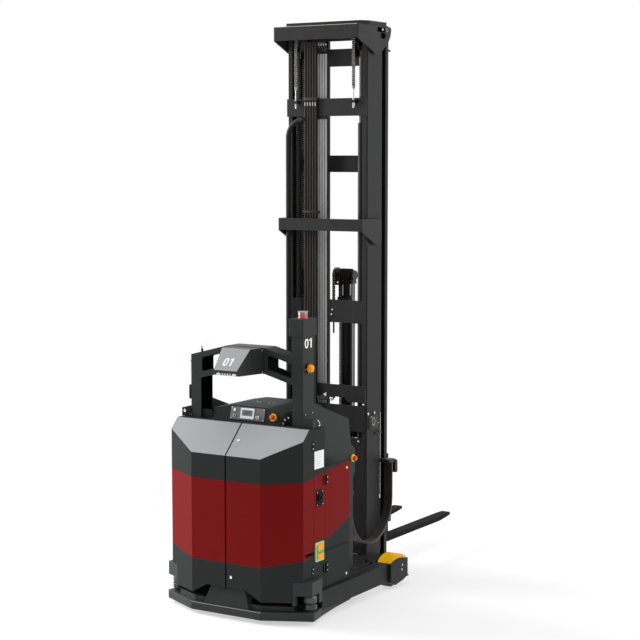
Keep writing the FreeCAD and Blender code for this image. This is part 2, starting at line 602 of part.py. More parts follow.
def estop_ring():
    """Yellow collar, drawn about the +Z axis with its back at z = 0."""
    ring = tube("z", 0, 0, 0, ESTOP_RING_R, ESTOP_STEM_R + BUTTON_FIT, ESTOP_RING_T)
    return ring.makeChamfer(3, [e for e in ring.Edges if abs(e.CenterOfMass.z - ESTOP_RING_T) < 0.1 and e.Length > 100])


def estop_head():
    """Red mushroom head with its stem, on the same axis as the collar."""
    stem = cyl("z", 0, 0, 1, ESTOP_STEM_R, ESTOP_RING_T + ESTOP_TRAVEL + 4)
    z0 = ESTOP_RING_T + ESTOP_TRAVEL + 2
    points = [(0, z0), (ESTOP_HEAD_R, z0), (ESTOP_HEAD_R, z0 + 9), (ESTOP_HEAD_R * 0.8, z0 + 15), (0, z0 + 18)]
    wire = Part.makePolygon([Vector(a, 0, b) for a, b in points + points[:1]])
    return fuse(stem, Part.Face(wire).revolve(Vector(0, 0, 0), Vector(0, 0, 1), 360))


def estop_on_console(shape):
    """Turn a piece drawn about +Z so that it faces out of the console."""
    moved = shape.copy()
    moved.rotate(Vector(0, 0, 0), Vector(1, 0, 0), 90)
    moved.translate(Vector(ESTOP_CONSOLE_X, 0, ESTOP_CONSOLE_Z))
    return on_console(moved)


def estop_on_side(shape):
    moved = shape.copy()
    moved.rotate(Vector(0, 0, 0), Vector(0, 1, 0), 90)
    moved.translate(Vector(PANEL_HALF_W, ESTOP_SIDE_Y, ESTOP_SIDE_Z))
    return moved


# ---------------------------------------------------------------------------------------------------------
# Arch
# ---------------------------------------------------------------------------------------------------------

POST_IN_X = PANEL_HALF_W - POST_W
ARCH_Y1 = ARCH_Y0 + POST_D


def post_box(x0, x1, z0, z1):
    """A folded sheet-metal post: a channel that is open towards the middle of the truck."""
    t = PANEL_T
    inner = box(x0 + t, x1 + 1, ARCH_Y0 + t, ARCH_Y1 - t, z0 - 1, z1 - t)
    if x0 > 0:
        inner = box(x0 - 1, x1 - t, ARCH_Y0 + t, ARCH_Y1 - t, z0 - 1, z1 - t)
    return cut(box(x0, x1, ARCH_Y0, ARCH_Y1, z0, z1), inner)


def right_post():
    """Tall post with its cap box, which carries the beacon."""
    post = post_box(POST_IN_X, PANEL_HALF_W, DECK_Z, RIGHT_POST_TOP_Z)
    cap = box(CAP_HALF_IN_X, PANEL_HALF_W + 6, CAP_FRONT_Y, CAP_REAR_Y, RIGHT_POST_TOP_Z - 2, CAP_TOP_Z)
    cap = fillet_along(cap, "z", 6, lambda p: True)
    return fuse(post, cap)


def arm_z(x, end_z, mid_z):
    """Height of a sloped arm edge at the distance x from the middle."""
    run = (POST_IN_X - abs(x)) / (POST_IN_X - ARM_KNEE_X)
    return end_z + (mid_z - end_z) * min(1.0, run)


ARM_END_TOP_Z = LEFT_POST_TOP_Z + 24
WINDOW_IN_X = ARM_KNEE_X + 26
WINDOW_OUT_X = POST_IN_X - 10


def arch():
    """Left post and the hollow bridge over to the right post, folded from one sheet."""
    post = post_box(-PANEL_HALF_W, -POST_IN_X, DECK_Z, LEFT_POST_TOP_Z - 1)
    x_end = POST_IN_X
    top = [(-PANEL_HALF_W, LEFT_POST_TOP_Z), (-ARM_KNEE_X, ARM_TOP_MID_Z), (ARM_KNEE_X, ARM_TOP_MID_Z),
           (x_end, ARM_END_TOP_Z)]
    bottom = [(x_end, ARM_BOTTOM_END_Z), (ARM_KNEE_X, ARM_BOTTOM_MID_Z), (-ARM_KNEE_X, ARM_BOTTOM_MID_Z),
              (-POST_IN_X, ARM_BOTTOM_END_Z), (-PANEL_HALF_W, ARM_BOTTOM_END_Z)]
    bridge = prism("y", ARCH_Y0, ARCH_Y1, *(top + bottom))
    t = PANEL_T
    core = [(-PANEL_HALF_W + t, LEFT_POST_TOP_Z - t), (-ARM_KNEE_X, ARM_TOP_MID_Z - t),
            (ARM_KNEE_X, ARM_TOP_MID_Z - t), (x_end - t, ARM_END_TOP_Z - t - 2),
            (x_end - t, ARM_BOTTOM_END_Z + t + 2), (ARM_KNEE_X, ARM_BOTTOM_MID_Z + t),
            (-ARM_KNEE_X, ARM_BOTTOM_MID_Z + t), (-POST_IN_X, ARM_BOTTOM_END_Z + t),
            (-PANEL_HALF_W + t, ARM_BOTTOM_END_Z + t)]
    bridge = cut(bridge, prism("y", ARCH_Y0 + t, ARCH_Y1 - t, *core))
    windows = []
    for side in (-1, 1):
        z_in_top = arm_z(WINDOW_IN_X, ARM_END_TOP_Z, ARM_TOP_MID_Z) - 44
        z_out_top = arm_z(WINDOW_OUT_X, ARM_END_TOP_Z, ARM_TOP_MID_Z) - 46
        z_in_low = arm_z(WINDOW_IN_X, ARM_BOTTOM_END_Z, ARM_BOTTOM_MID_Z) + 44
        z_out_low = arm_z(WINDOW_OUT_X, ARM_BOTTOM_END_Z, ARM_BOTTOM_MID_Z) + 46
        window = prism("y", ARCH_Y0 - 1, ARCH_Y1 + 1, (side * WINDOW_IN_X, z_in_low), (side * WINDOW_OUT_X, z_out_low),
                       (side * WINDOW_OUT_X, z_out_top), (side * WINDOW_IN_X, z_in_top))
        windows.append(fillet_along(window, "y", 12, lambda p: True))
    bridge = cut(bridge, *windows)
    return fuse(post, bridge)


SENSOR_NOSE_Y = 12.0          # lower edge of the sloped face
SENSOR_TOP_Y = 155.0          # upper edge of the sloped face
SENSOR_TOP_Z = ARM_TOP_MID_Z - 3
SENSOR_NOSE_Z = 1876.0
SENSOR_LOW_Z = 1832.0
SENSOR_HALF_REAR = 148.0
SENSOR_HALF_NOSE = 103.0
SENSOR_STRIP_HALF = 88.0


def sensor_box():
    """Navigation sensor housing on the arch: it leans far forward, with a sloped face that is narrower at the nose."""
    side = [(ARCH_Y0, SENSOR_TOP_Z), (SENSOR_TOP_Y, SENSOR_TOP_Z), (SENSOR_NOSE_Y, SENSOR_NOSE_Z),
            (SENSOR_NOSE_Y, SENSOR_NOSE_Z - 9), (SENSOR_NOSE_Y + 6, SENSOR_NOSE_Z - 26),
            (SENSOR_NOSE_Y + 24, SENSOR_LOW_Z + 2), (ARCH_Y0, SENSOR_LOW_Z)]
    wedge = prism("x", -SENSOR_HALF_REAR, SENSOR_HALF_REAR, *side)
    flare = (SENSOR_HALF_REAR - SENSOR_HALF_NOSE) / (ARCH_Y0 - SENSOR_NOSE_Y)
    for s in (-1, 1):
        nose_x = SENSOR_HALF_NOSE - flare * 20
        wedge = cut(wedge, prism("z", SENSOR_LOW_Z - 1, SENSOR_TOP_Z + 1, (s * nose_x, SENSOR_NOSE_Y - 20),
                                 (s * (SENSOR_HALF_REAR + 40), SENSOR_NOSE_Y - 20),
                                 (s * (SENSOR_HALF_REAR + 40), ARCH_Y0), (s * SENSOR_HALF_REAR, ARCH_Y0)))
    slot = box(-SENSOR_STRIP_HALF - 2, SENSOR_STRIP_HALF + 2, SENSOR_NOSE_Y - 20, SENSOR_NOSE_Y + 50,
               SENSOR_LOW_Z + 3, SENSOR_LOW_Z + 28)
    return cut(wedge, slot)


def sensor_strip():
    """Silver stereo camera bar in the slot beneath the sensor box."""
    y0 = SENSOR_NOSE_Y + 12
    bar = box(-SENSOR_STRIP_HALF, SENSOR_STRIP_HALF, y0, SENSOR_NOSE_Y + 50, SENSOR_LOW_Z + 4, SENSOR_LOW_Z + 24)
    return fillet_along(bar, "x", 6, lambda p: p.y < y0 + 10)


BEACON_X = 454.0
BEACON_Y = 372.0


def beacon():
    """Red warning beacon with its flat grey lid."""
    base = cyl("z", BEACON_X, BEACON_Y, CAP_TOP_Z, 38, 6)
    lens = cyl("z", BEACON_X, BEACON_Y, CAP_TOP_Z + 6, 34, 34)
    lid = cyl("z", BEACON_X, BEACON_Y, CAP_TOP_Z + 40, 35, 12)
    return fuse(base, lens, lid)


LAMP_Y = 352.0
LAMP_Z = 1889.0


def turn_lamp():
    """Amber lamp on the outer side of an arch post."""
    socket = cyl("x", PANEL_HALF_W, LAMP_Y, LAMP_Z, 30, 10)
    points = [(0, 10), (33, 10), (33, 24), (26, 40), (14, 46), (0, 47)]
    wire = Part.makePolygon([Vector(b, a, 0) for a, b in points + points[:1]])
    lens = Part.Face(wire).revolve(Vector(0, 0, 0), Vector(1, 0, 0), 360)
    lens.translate(Vector(PANEL_HALF_W, LAMP_Y, LAMP_Z))
    return fuse(socket, lens)


def hook_bracket():
    """Lifting and service bracket beside the arch post: a folded black plate with a hook."""
    x0, x1 = PANEL_HALF_W + 1, HOUSING_HALF_W - 4
    z0, z1 = DECK_Z + 3, DECK_Z + 68
    foot = box(x0, HOUSING_HALF_W - DOOR_LEAF - 6, ARCH_Y0 - 6, ARCH_Y0, DECK_Z, z0 + 1)
    plate = box(x0, x1, ARCH_Y0 - 6, ARCH_Y0, z0, z1)
    cheek = box(x1 - 5, x1, ARCH_Y0 - 6, ARCH_Y1 - 10, z0, z1)
    eye = cyl("x", HOUSING_HALF_W - 12, ARCH_Y0 + 72, DECK_Z + 38, 13, 12)
    inner = box(HOOD_HALF_W + 8, POST_IN_X - 2, ARCH_Y0 + 10, ARCH_Y0 + 16, DECK_Z, DECK_Z + 70)
    outer = cut(fuse(foot, plate, cheek), eye)
    return Part.makeCompound([outer, inner])


# ---------------------------------------------------------------------------------------------------------
# Sides: charging contacts and socket
# ---------------------------------------------------------------------------------------------------------

def charging_plate():
    """Charging contacts: an insulating plate with two copper pads on its face."""
    plate = box(HOUSING_HALF_W, HOUSING_HALF_W + 10, 303, 420, 446, 590)
    plate = fillet_along(plate, "x", 8, lambda p: True)
    pads = [box(HOUSING_HALF_W + 10, HOUSING_HALF_W + 20, 318, 405, z, z + 44) for z in (462, 530)]
    pads = [fillet_along(pad, "x", 6, lambda p: True) for pad in pads]
    return group(plate, *pads)


def socket_plate():
    """Service socket in a black rounded plate."""
    plate = box(HOUSING_HALF_W, HOUSING_HALF_W + 5, 322, 412, 860, 981)
    plate = fillet_along(plate, "x", 8, lambda p: True)
    dial = cyl("x", HOUSING_HALF_W + 5, 367, 922, 26, 8)
    hole = cyl("x", HOUSING_HALF_W + 6, 367, 922, 15, 10)
    return cut(fuse(plate, dial), hole)


# ---------------------------------------------------------------------------------------------------------
# Inside the housing
# ---------------------------------------------------------------------------------------------------------

BATTERY_HALF_W = HOUSING_HALF_W - 159
BATTERY_Y0 = REAR_FLOOR_Y + 40
BATTERY_Y1 = REAR_WALL_Y - 50
BATTERY_FLOOR_Z = LEG_Z1 + 16
BATTERY_TOP_Z = BATTERY_FLOOR_Z + 667
LID_T = 20.0


def battery():
    """Traction battery on the raised rear floor, with its lid and its plug."""
    tray = box(-BATTERY_HALF_W, BATTERY_HALF_W, BATTERY_Y0, BATTERY_Y1, BATTERY_FLOOR_Z, BATTERY_TOP_Z)
    tray = fillet_along(tray, "z", 15, lambda p: True)
    lid = box(-BATTERY_HALF_W + 10, BATTERY_HALF_W - 10, BATTERY_Y0 + 10, BATTERY_Y1 - 10, BATTERY_TOP_Z,
              BATTERY_TOP_Z + LID_T)
    plug_x = BATTERY_HALF_W - 40
    plug = box(plug_x - 100, plug_x, BATTERY_Y0 + 40, BATTERY_Y0 + 120, BATTERY_TOP_Z + LID_T,
               BATTERY_TOP_Z + LID_T + 45)
    return fuse(tray, lid, plug)


TANK_FOOT = 70.0              # height of the oil tank's feet over the battery lid
TANK_H = 310.0


def hydraulic_unit():
    """Oil tank with pump motor and valve block, on feet above the battery."""
    lid_z = BATTERY_TOP_Z + LID_T
    z0, z1 = lid_z + TANK_FOOT, lid_z + TANK_FOOT + TANK_H
    x0, x1 = -BATTERY_HALF_W + 20, 60
    y0, y1 = BATTERY_Y0 + 40, BATTERY_Y1 - 60
    mid_y, mid_z = (y0 + y1) / 2, (z0 + z1) / 2 - 25
    tank = fillet_along(box(x0, x1, y0, y1, z0, z1), "z", 20, lambda p: True)
    feet = [box(x, x + 30, y, y + 30, lid_z, z0 + 1) for x in (x0 + 10, x1 - 40) for y in (y0 + 10, y1 - 40)]
    motor = cyl("x", x1 - 1, mid_y, mid_z, 85, BATTERY_HALF_W - x1 - 120)
    valve_x = BATTERY_HALF_W - 122
    valve = box(valve_x, valve_x + 82, mid_y - 60, mid_y + 60, mid_z - 60, mid_z + 80)
    filler = cyl("z", x0 + 90, y0 + 70, z1 - 1, 28, 40)
    return fuse(tank, motor, valve, filler, *feet)


def steering_unit():
    """Drive unit that turns under the bearing ring: traction motor on top, gearbox and fork for the wheel."""
    bearing = cyl("z", 0, DRIVE_Y, STEER_BEARING_Z + 1, BEARING_R, 26)
    neck = cyl("z", 0, DRIVE_Y, STEER_BEARING_Z - 60, 121.5, 62)
    motor = cyl("z", 0, DRIVE_Y, STEER_BEARING_Z + 27, 100, 300)
    cap = cyl("z", 0, DRIVE_Y, STEER_BEARING_Z + 327, 84, 28)
    yoke = box(-110, 110, DRIVE_Y - 60, DRIVE_Y + 60, DRIVE_WHEEL_R * 2 + 8, STEER_BEARING_Z - 58)
    half_w = DRIVE_WHEEL_W / 2
    gearbox = fuse(box(half_w + 4, half_w + 50, DRIVE_Y - 60, DRIVE_Y + 60, DRIVE_WHEEL_R - 60, STEER_BEARING_Z - 58),
                   cyl("x", half_w + 4, DRIVE_Y, DRIVE_WHEEL_R, 78, 46))
    axle = cyl("x", -half_w - 20, DRIVE_Y, DRIVE_WHEEL_R, 24, 2 * half_w + 40)
    return fuse(bearing, neck, motor, cap, yoke, gearbox, axle)


def drive_wheel():
    """Polyurethane tyre on its rim."""
    half_w = DRIVE_WHEEL_W / 2
    wheel = cyl("x", -half_w, DRIVE_Y, DRIVE_WHEEL_R, DRIVE_WHEEL_R, DRIVE_WHEEL_W)
    wheel = wheel.makeFillet(10, [e for e in wheel.Edges if e.Length > 500 and not e.isSeam(wheel.Faces[0])
                                  and e.Curve.TypeId == "Part::GeomCircle"])
    dish = tube("x", -half_w - 1, DRIVE_Y, DRIVE_WHEEL_R, 105, 48, 16)
    bore = cyl("x", -half_w - 1, DRIVE_Y, DRIVE_WHEEL_R, 24 + RUN_FIT, DRIVE_WHEEL_W + 2)
    return cut(wheel, dish, bore)


# ---------------------------------------------------------------------------------------------------------
# Legs and load wheels
# ---------------------------------------------------------------------------------------------------------

CHEEK_IN_X = LOAD_WHEEL_X + LOAD_WHEEL_W / 2 + 8
INNER_CHEEK_X1 = LOAD_WHEEL_X - LOAD_WHEEL_W / 2 - 8
INNER_CHEEK_X0 = INNER_CHEEK_X1 - 26


def arched(x0, x1, y0, y1, z, rise, inset=0.0):
    """A slice of a cylinder along X that stands on the chord y0..y1 at the height z."""
    half = (y1 - y0) / 2
    radius = (half ** 2 + rise ** 2) / (2 * rise)
    disc = cyl("x", x0, (y0 + y1) / 2, z + rise - radius, radius - inset, x1 - x0)
    return disc.common(box(x0 - 1, x1 + 1, y0, y1, z, z + rise + 1))


def cheek_crown(gap):
    """Low crown on top of the wheel box's outer cheek, under the guard."""
    return arched(CHEEK_IN_X - gap, WHEEL_BOX_X + gap, WHEEL_BOX_Y0 + 40, WHEEL_BOX_Y1 - 30, LEG_Z1 - 1,
                  CHEEK_RISE + 1 + gap)


def leg():
    """Right-hand outrigger: a channel that opens inwards for the reach rollers, and the wheel box behind it."""
    outer = box(LEG_INNER_X, LEG_HALF_W, LEG_FRONT_Y, LEG_REAR_Y, LEG_Z0, LEG_Z1)
    channel = box(LEG_INNER_X - 1, LEG_HALF_W - LEG_WALL, LEG_FRONT_Y + LEG_WALL, LEG_REAR_Y - LEG_WALL,
                  LEG_Z0 + LEG_WALL, LEG_Z1 - LEG_WALL)
    beam = cut(fillet_along(outer, "y", 5, lambda p: p.x > LEG_HALF_W - 1), channel)
    cheek_outline = [(WHEEL_BOX_Y0, 62), (WHEEL_BOX_Y0, LEG_Z1), (WHEEL_BOX_Y1, LEG_Z1), (WHEEL_BOX_Y1, 68),
                     (WHEEL_BOX_Y1 - 76, 46), (WHEEL_BOX_Y0 + 84, 30)]
    cheek = prism("x", CHEEK_IN_X, WHEEL_BOX_X, *cheek_outline)
    cheek = fillet_along(cheek, "x", 20, lambda p: p.z < 80)
    cheek = fillet_along(cheek, "z", 8, lambda p: p.x > WHEEL_BOX_X - 1)
    cheek = fuse(cheek, cheek_crown(0))
    bridge = box(INNER_CHEEK_X0, LEG_HALF_W - LEG_WALL, LEG_REAR_Y - 6, WHEEL_BOX_Y0 + 8, LEG_Z0 + 4, LEG_Z1 - 2)
    inner = box(INNER_CHEEK_X0, INNER_CHEEK_X1, LEG_REAR_Y - 6, WHEEL_BOX_Y1, LEG_Z0, LEG_Z1)
    back = box(INNER_CHEEK_X0, CHEEK_IN_X + 1, LOAD_WHEEL_Y + LOAD_WHEEL_R + 6, WHEEL_BOX_Y1, LEG_Z0 + 30, LEG_Z1)
    axle = cyl("x", INNER_CHEEK_X1 - 1, LOAD_WHEEL_Y, LOAD_WHEEL_R, AXLE_R, CHEEK_IN_X - INNER_CHEEK_X1 + 2)
    knob = cyl("y", LEG_HALF_W - 20, WHEEL_BOX_Y1 - 1, 112, 9, 16)
    return fuse(beam, cheek, bridge, inner, back, axle, knob)


def load_wheel(side):
    """Load wheel with a rounded tread and a dished hub. It turns on the leg's fixed axle."""
    x0 = LOAD_WHEEL_X - LOAD_WHEEL_W / 2
    wheel = cyl("x", x0, LOAD_WHEEL_Y, LOAD_WHEEL_R, LOAD_WHEEL_R, LOAD_WHEEL_W)
    wheel = wheel.makeFillet(8, [e for e in wheel.Edges if e.Curve.TypeId == "Part::GeomCircle"])
    dish = tube("x", x0 - 1, LOAD_WHEEL_Y, LOAD_WHEEL_R, 80, 42, 13)
    dish_2 = tube("x", x0 + LOAD_WHEEL_W - 12, LOAD_WHEEL_Y, LOAD_WHEEL_R, 80, 42, 13)
    bore = cyl("x", x0 - 1, LOAD_WHEEL_Y, LOAD_WHEEL_R, AXLE_R + RUN_FIT, LOAD_WHEEL_W + 2)
    wheel = cut(wheel, dish, dish_2, bore)
    return wheel if side > 0 else mirrored(wheel)


def wheel_guard():
    """Curved yellow guard over a load wheel, closed on its outer side down to the cheek."""
    x0, x1 = LEG_INNER_X + 8, LEG_HALF_W + 8
    y0, y1 = WHEEL_BOX_Y0 + 14, WHEEL_BOX_Y1 - 4
    shell = arched(x0, x1, y0, y1, LEG_Z1, GUARD_RISE)
    hollow = arched(x0 - 1, x1 - 4, y0, y1, LEG_Z1, GUARD_RISE, inset=4)
    return cut(shell, hollow, cheek_crown(0.3))


# ---------------------------------------------------------------------------------------------------------
# Mast
# ---------------------------------------------------------------------------------------------------------

OUTER_WEB_IN_X = OUTER_RAIL_X - WEB_T
MIDDLE_RAIL_Y = OUTER_RAIL_Y + STAGE_STEP_1
INNER_RAIL_Y = MIDDLE_RAIL_Y + STAGE_STEP_2
MIDDLE_WEB_X1 = OUTER_WEB_IN_X - STAGE_GAP - FLANGE_HALF
MIDDLE_WEB_X0 = MIDDLE_WEB_X1 - WEB_T
INNER_WEB_X1 = MIDDLE_WEB_X0 - STAGE_GAP - FLANGE_HALF - 20
INNER_WEB_X0 = INNER_WEB_X1 - WEB_T


def rail(web_x0, web_x1, y0, z0, z1, in_front, out_front, in_rear, out_rear):
    """One mast rail: a web with a front and a rear flange that stand out inwards and outwards."""
    web = box(web_x0, web_x1, y0, y0 + RAIL_DEPTH, z0, z1)
    front = box(web_x0 - in_front, web_x1 + out_front, y0, y0 + FLANGE_T, z0, z1)
    rear = box(web_x0 - in_rear, web_x1 + out_rear, y0 + RAIL_DEPTH - FLANGE_T, y0 + RAIL_DEPTH, z0, z1)
    return fuse(web, front, rear)


def tie_bracket(y0, z0, z1, foot_y, foot_y2, foot_z):
    """Bent tie bracket: a bar across the front with a gusset down each side of the mast."""
    bar = box(-TIE_HALF_W, TIE_HALF_W, y0, y0 + TIE_T, z0, z1)
    top = box(-TIE_HALF_W, TIE_HALF_W, y0, y0 + 46, z1 - TIE_T, z1)
    outline = [(y0, z0), (y0, z1), (foot_y2 + 20, z1), (foot_y2 + 20, foot_z + 24), (foot_y2, foot_z), (foot_y, foot_z)]
    side = prism("x", TIE_HALF_W - TIE_T, TIE_HALF_W, *outline)
    pad = box(OUTER_RAIL_X - 1, TIE_HALF_W - TIE_T + 1, OUTER_RAIL_Y + 30, foot_y2 + 20, foot_z + 40, z1)
    half = fuse(side, pad)
    bracket = fuse(bar, top, half, mirrored(half))
    return fillet_along(bracket, "z", 10, lambda p: p.y < y0 + 1 and abs(p.x) > TIE_HALF_W - 1)


def tie_ear():
    """Rear part of the top tie's side plate: it sweeps back along the rails and has a slot for its bolt."""
    outline = [(1480, 4330), (1480, TOP_TIE[2]), (TOP_EAR_Y, TOP_TIE[2]), (TOP_EAR_Y + 14, 4466), (TOP_EAR_Y, 4409),
               (TOP_EAR_Y - 30, 4368), (TOP_EAR_Y - 90, 4320), (TOP_EAR_Y - 146, 4280), (1580, 4262), (1520, 4262)]
    ear = prism("x", TIE_HALF_W - TIE_T, TIE_HALF_W, *outline)
    return cut(ear, fillet_along(box(TIE_HALF_W - TIE_T - 1, TIE_HALF_W + 1, 1612, 1706, 4386, 4434), "x", 20,
                                 lambda p: True))


TOP_EAR_Y = 1782.0            # how far the top tie's side plates reach back
MID_TIE = (1334.0, 2861.0, 2957.0, 1550.0, 1630.0, 2752.0)
TOP_TIE = (1272.0, 4375.0, 4484.0, 1490.0, 1566.0, 4284.0)
CROSS_T = 14.0
CROSS_A_Z = (3775.0, 3916.0)
CROSS_B_Z = (2117.0, 2301.0)
CROSS_C_Z = (1480.0, 1614.0)
LOW_PANEL_Z = (310.0, 1190.0)
UPPER_PANEL_Z = (1242.0, 1452.0)
PANEL_HALF = 358.0
COVER_SEAM_Z = 1298.0
COVER_FOOT_Z = 232.0
FRONT_CROSS_Y = OUTER_RAIL_Y - CROSS_T
ROLLER_R = (RAIL_DEPTH - 2 * FLANGE_T) / 2 - 1
ROLLER_W = 20.0
ROLLER_PIN_R = 20.0
MIDDLE_ROLLER_Y = OUTER_RAIL_Y + RAIL_DEPTH / 2
MIDDLE_ROLLER_Z = 300.0
INNER_ROLLER_Y = MIDDLE_RAIL_Y + RAIL_DEPTH / 2
INNER_ROLLER_Z = 330.0
CARRIAGE_ROLLER_Y = INNER_RAIL_Y + RAIL_DEPTH / 2
CARRIAGE_ROLLER_Z = (520.0, 860.0)


def rail_half_outer():
    rail_part = rail(OUTER_WEB_IN_X, OUTER_RAIL_X, OUTER_RAIL_Y, MAST_FOOT_Z, OUTER_TOP_Z, OUTER_FLANGE_W - WEB_T, 0,
                     OUTER_FLANGE_W - WEB_T, 0)
    cross_a = box(0, OUTER_RAIL_X + SIDE_COVER_T, FRONT_CROSS_Y, OUTER_RAIL_Y, *CROSS_A_Z)
    # the second cross-member is set back for the cables and steps forward round the cylinders
    bar_end = CYL_X - CYL_R - 6
    cross_b = fuse(box(0, bar_end, OUTER_RAIL_Y + 11, OUTER_RAIL_Y + 23, *CROSS_B_Z),
                   box(bar_end - 16, bar_end, OUTER_RAIL_Y, OUTER_RAIL_Y + 23, *CROSS_B_Z),
                   box(bar_end - 16, OUTER_WEB_IN_X + 1, OUTER_RAIL_Y, OUTER_RAIL_Y + 12, *CROSS_B_Z))
    cross_c = box(0, OUTER_RAIL_X, FRONT_CROSS_Y, OUTER_RAIL_Y, *CROSS_C_Z)
    bite = prism("y", FRONT_CROSS_Y - 1, OUTER_RAIL_Y + 1, (60, CROSS_C_Z[0] - 1), (84, CROSS_C_Z[0] + 34),
                 (176, CROSS_C_Z[0] + 34), (200, CROSS_C_Z[0] - 1))
    cross_c = cut(cross_c, bite)
    panels = [box(0, PANEL_HALF, OUTER_RAIL_Y - 8, OUTER_RAIL_Y, *z) for z in (LOW_PANEL_Z, UPPER_PANEL_Z)]
    foot_bar = box(0, OUTER_WEB_IN_X + 1, OUTER_RAIL_Y, OUTER_RAIL_Y + 42, MAST_FOOT_Z, 230)
    foot_bar = cut(foot_bar, cyl("z", CYL_X, CYL_Y, CYL_FOOT_Z, CYL_R, 300))
    return fuse(rail_part, cross_a, cross_b, cross_c, *panels, foot_bar)


def outer_mast():
    """Outer stage: rails, cross-members, tie brackets and the foot between the rails."""
    half = rail_half_outer()
    clamp = box(OUTER_RAIL_X - 1, BAND_X0 + BAND_W + 8, BAND_MAST_Y - 70, BAND_MAST_Y + BAND_T / 2 + 8, BAND_TOP_Z,
                BAND_TOP_Z + 26)
    clamp = cut(clamp, box(0, OUTER_RAIL_X + SIDE_COVER_T + 2, OUTER_RAIL_Y + RAIL_DEPTH, BAND_MAST_Y + 200,
                           BAND_TOP_Z - 1, BAND_TOP_Z + 27))
    ears = [tie_ear(), mirrored(tie_ear())]
    return fuse(half, mirrored(half), tie_bracket(*MID_TIE), tie_bracket(*TOP_TIE), *ears, clamp)


def side_cover():
    """Smooth sheet cover over the outer face of a rail, with a lap joint near the band."""
    upper = box(OUTER_RAIL_X, OUTER_RAIL_X + SIDE_COVER_T, OUTER_RAIL_Y + 10, OUTER_RAIL_Y + RAIL_DEPTH, COVER_SEAM_Z + 2,
                MID_TIE[5] - 3)
    lower = box(OUTER_RAIL_X, OUTER_RAIL_X + SIDE_COVER_T, OUTER_RAIL_Y + 10, OUTER_RAIL_Y + RAIL_DEPTH, COVER_FOOT_Z,
                COVER_SEAM_Z - 2)
    lower = cut(lower, box(0, OUTER_RAIL_X + 100, BAND_MAST_Y - 72, BAND_MAST_Y + 200, BAND_TOP_Z - 2,
                           BAND_TOP_Z + 28))
    top = box(OUTER_RAIL_X, OUTER_RAIL_X + SIDE_COVER_T, OUTER_RAIL_Y + 10, OUTER_RAIL_Y + RAIL_DEPTH, MID_TIE[2] + 3,
              TOP_TIE[5] - 3)
    middle = box(OUTER_RAIL_X, OUTER_RAIL_X + SIDE_COVER_T, MID_TIE[4] + 24, OUTER_RAIL_Y + RAIL_DEPTH, MID_TIE[5] - 4,
                 MID_TIE[2] + 4)
    return [lower, fuse(upper, middle, top)]


REACH_BEAM_X1 = INNER_CHEEK_X0 - 4
REACH_BEAM_X0 = REACH_BEAM_X1 - 28
REACH_ROLLER_R = (LEG_Z1 - LEG_Z0 - 2 * LEG_WALL) / 2 - 1
REACH_ROLLER_Z = (LEG_Z0 + LEG_Z1) / 2
REACH_ROLLER_SPAN = 280.0
REACH_ROLLER_REAR_Y = LEG_REAR_Y - LEG_WALL - REACH_ROLLER_R - 14
REACH_ROLLER_Y = (REACH_ROLLER_REAR_Y, REACH_ROLLER_REAR_Y - REACH_ROLLER_SPAN)


def mast_base():
    """Reach carriage: a beam along each leg with two guide rollers, and the plates that carry the mast."""
    z0, z1 = LEG_Z0 + 12, LEG_Z1 - 15
    beam = box(REACH_BEAM_X0, REACH_BEAM_X1, REACH_ROLLER_Y[1] - 70, OUTER_RAIL_Y + RAIL_DEPTH + 20, z0, z1)
    shoe = box(OUTER_RAIL_X, REACH_BEAM_X0 + 1, OUTER_RAIL_Y + 6, OUTER_RAIL_Y + RAIL_DEPTH, z0, z1)
    parts = [beam, shoe]
    for y in REACH_ROLLER_Y:
        pin = cyl("x", REACH_BEAM_X1 - 1, y, REACH_ROLLER_Z, 24, LEG_INNER_X + 20 - REACH_BEAM_X1 + 2)
        roller = cyl("x", LEG_INNER_X + 20, y, REACH_ROLLER_Z, REACH_ROLLER_R, 56)
        parts += [pin, roller]
    half = fuse(*parts)
    cross = box(-REACH_BEAM_X0 - 1, REACH_BEAM_X0 + 1, REACH_ROLLER_Y[1] - 40, REACH_ROLLER_Y[1] + 20, z0, z0 + 60)
    return fuse(half, mirrored(half), cross)


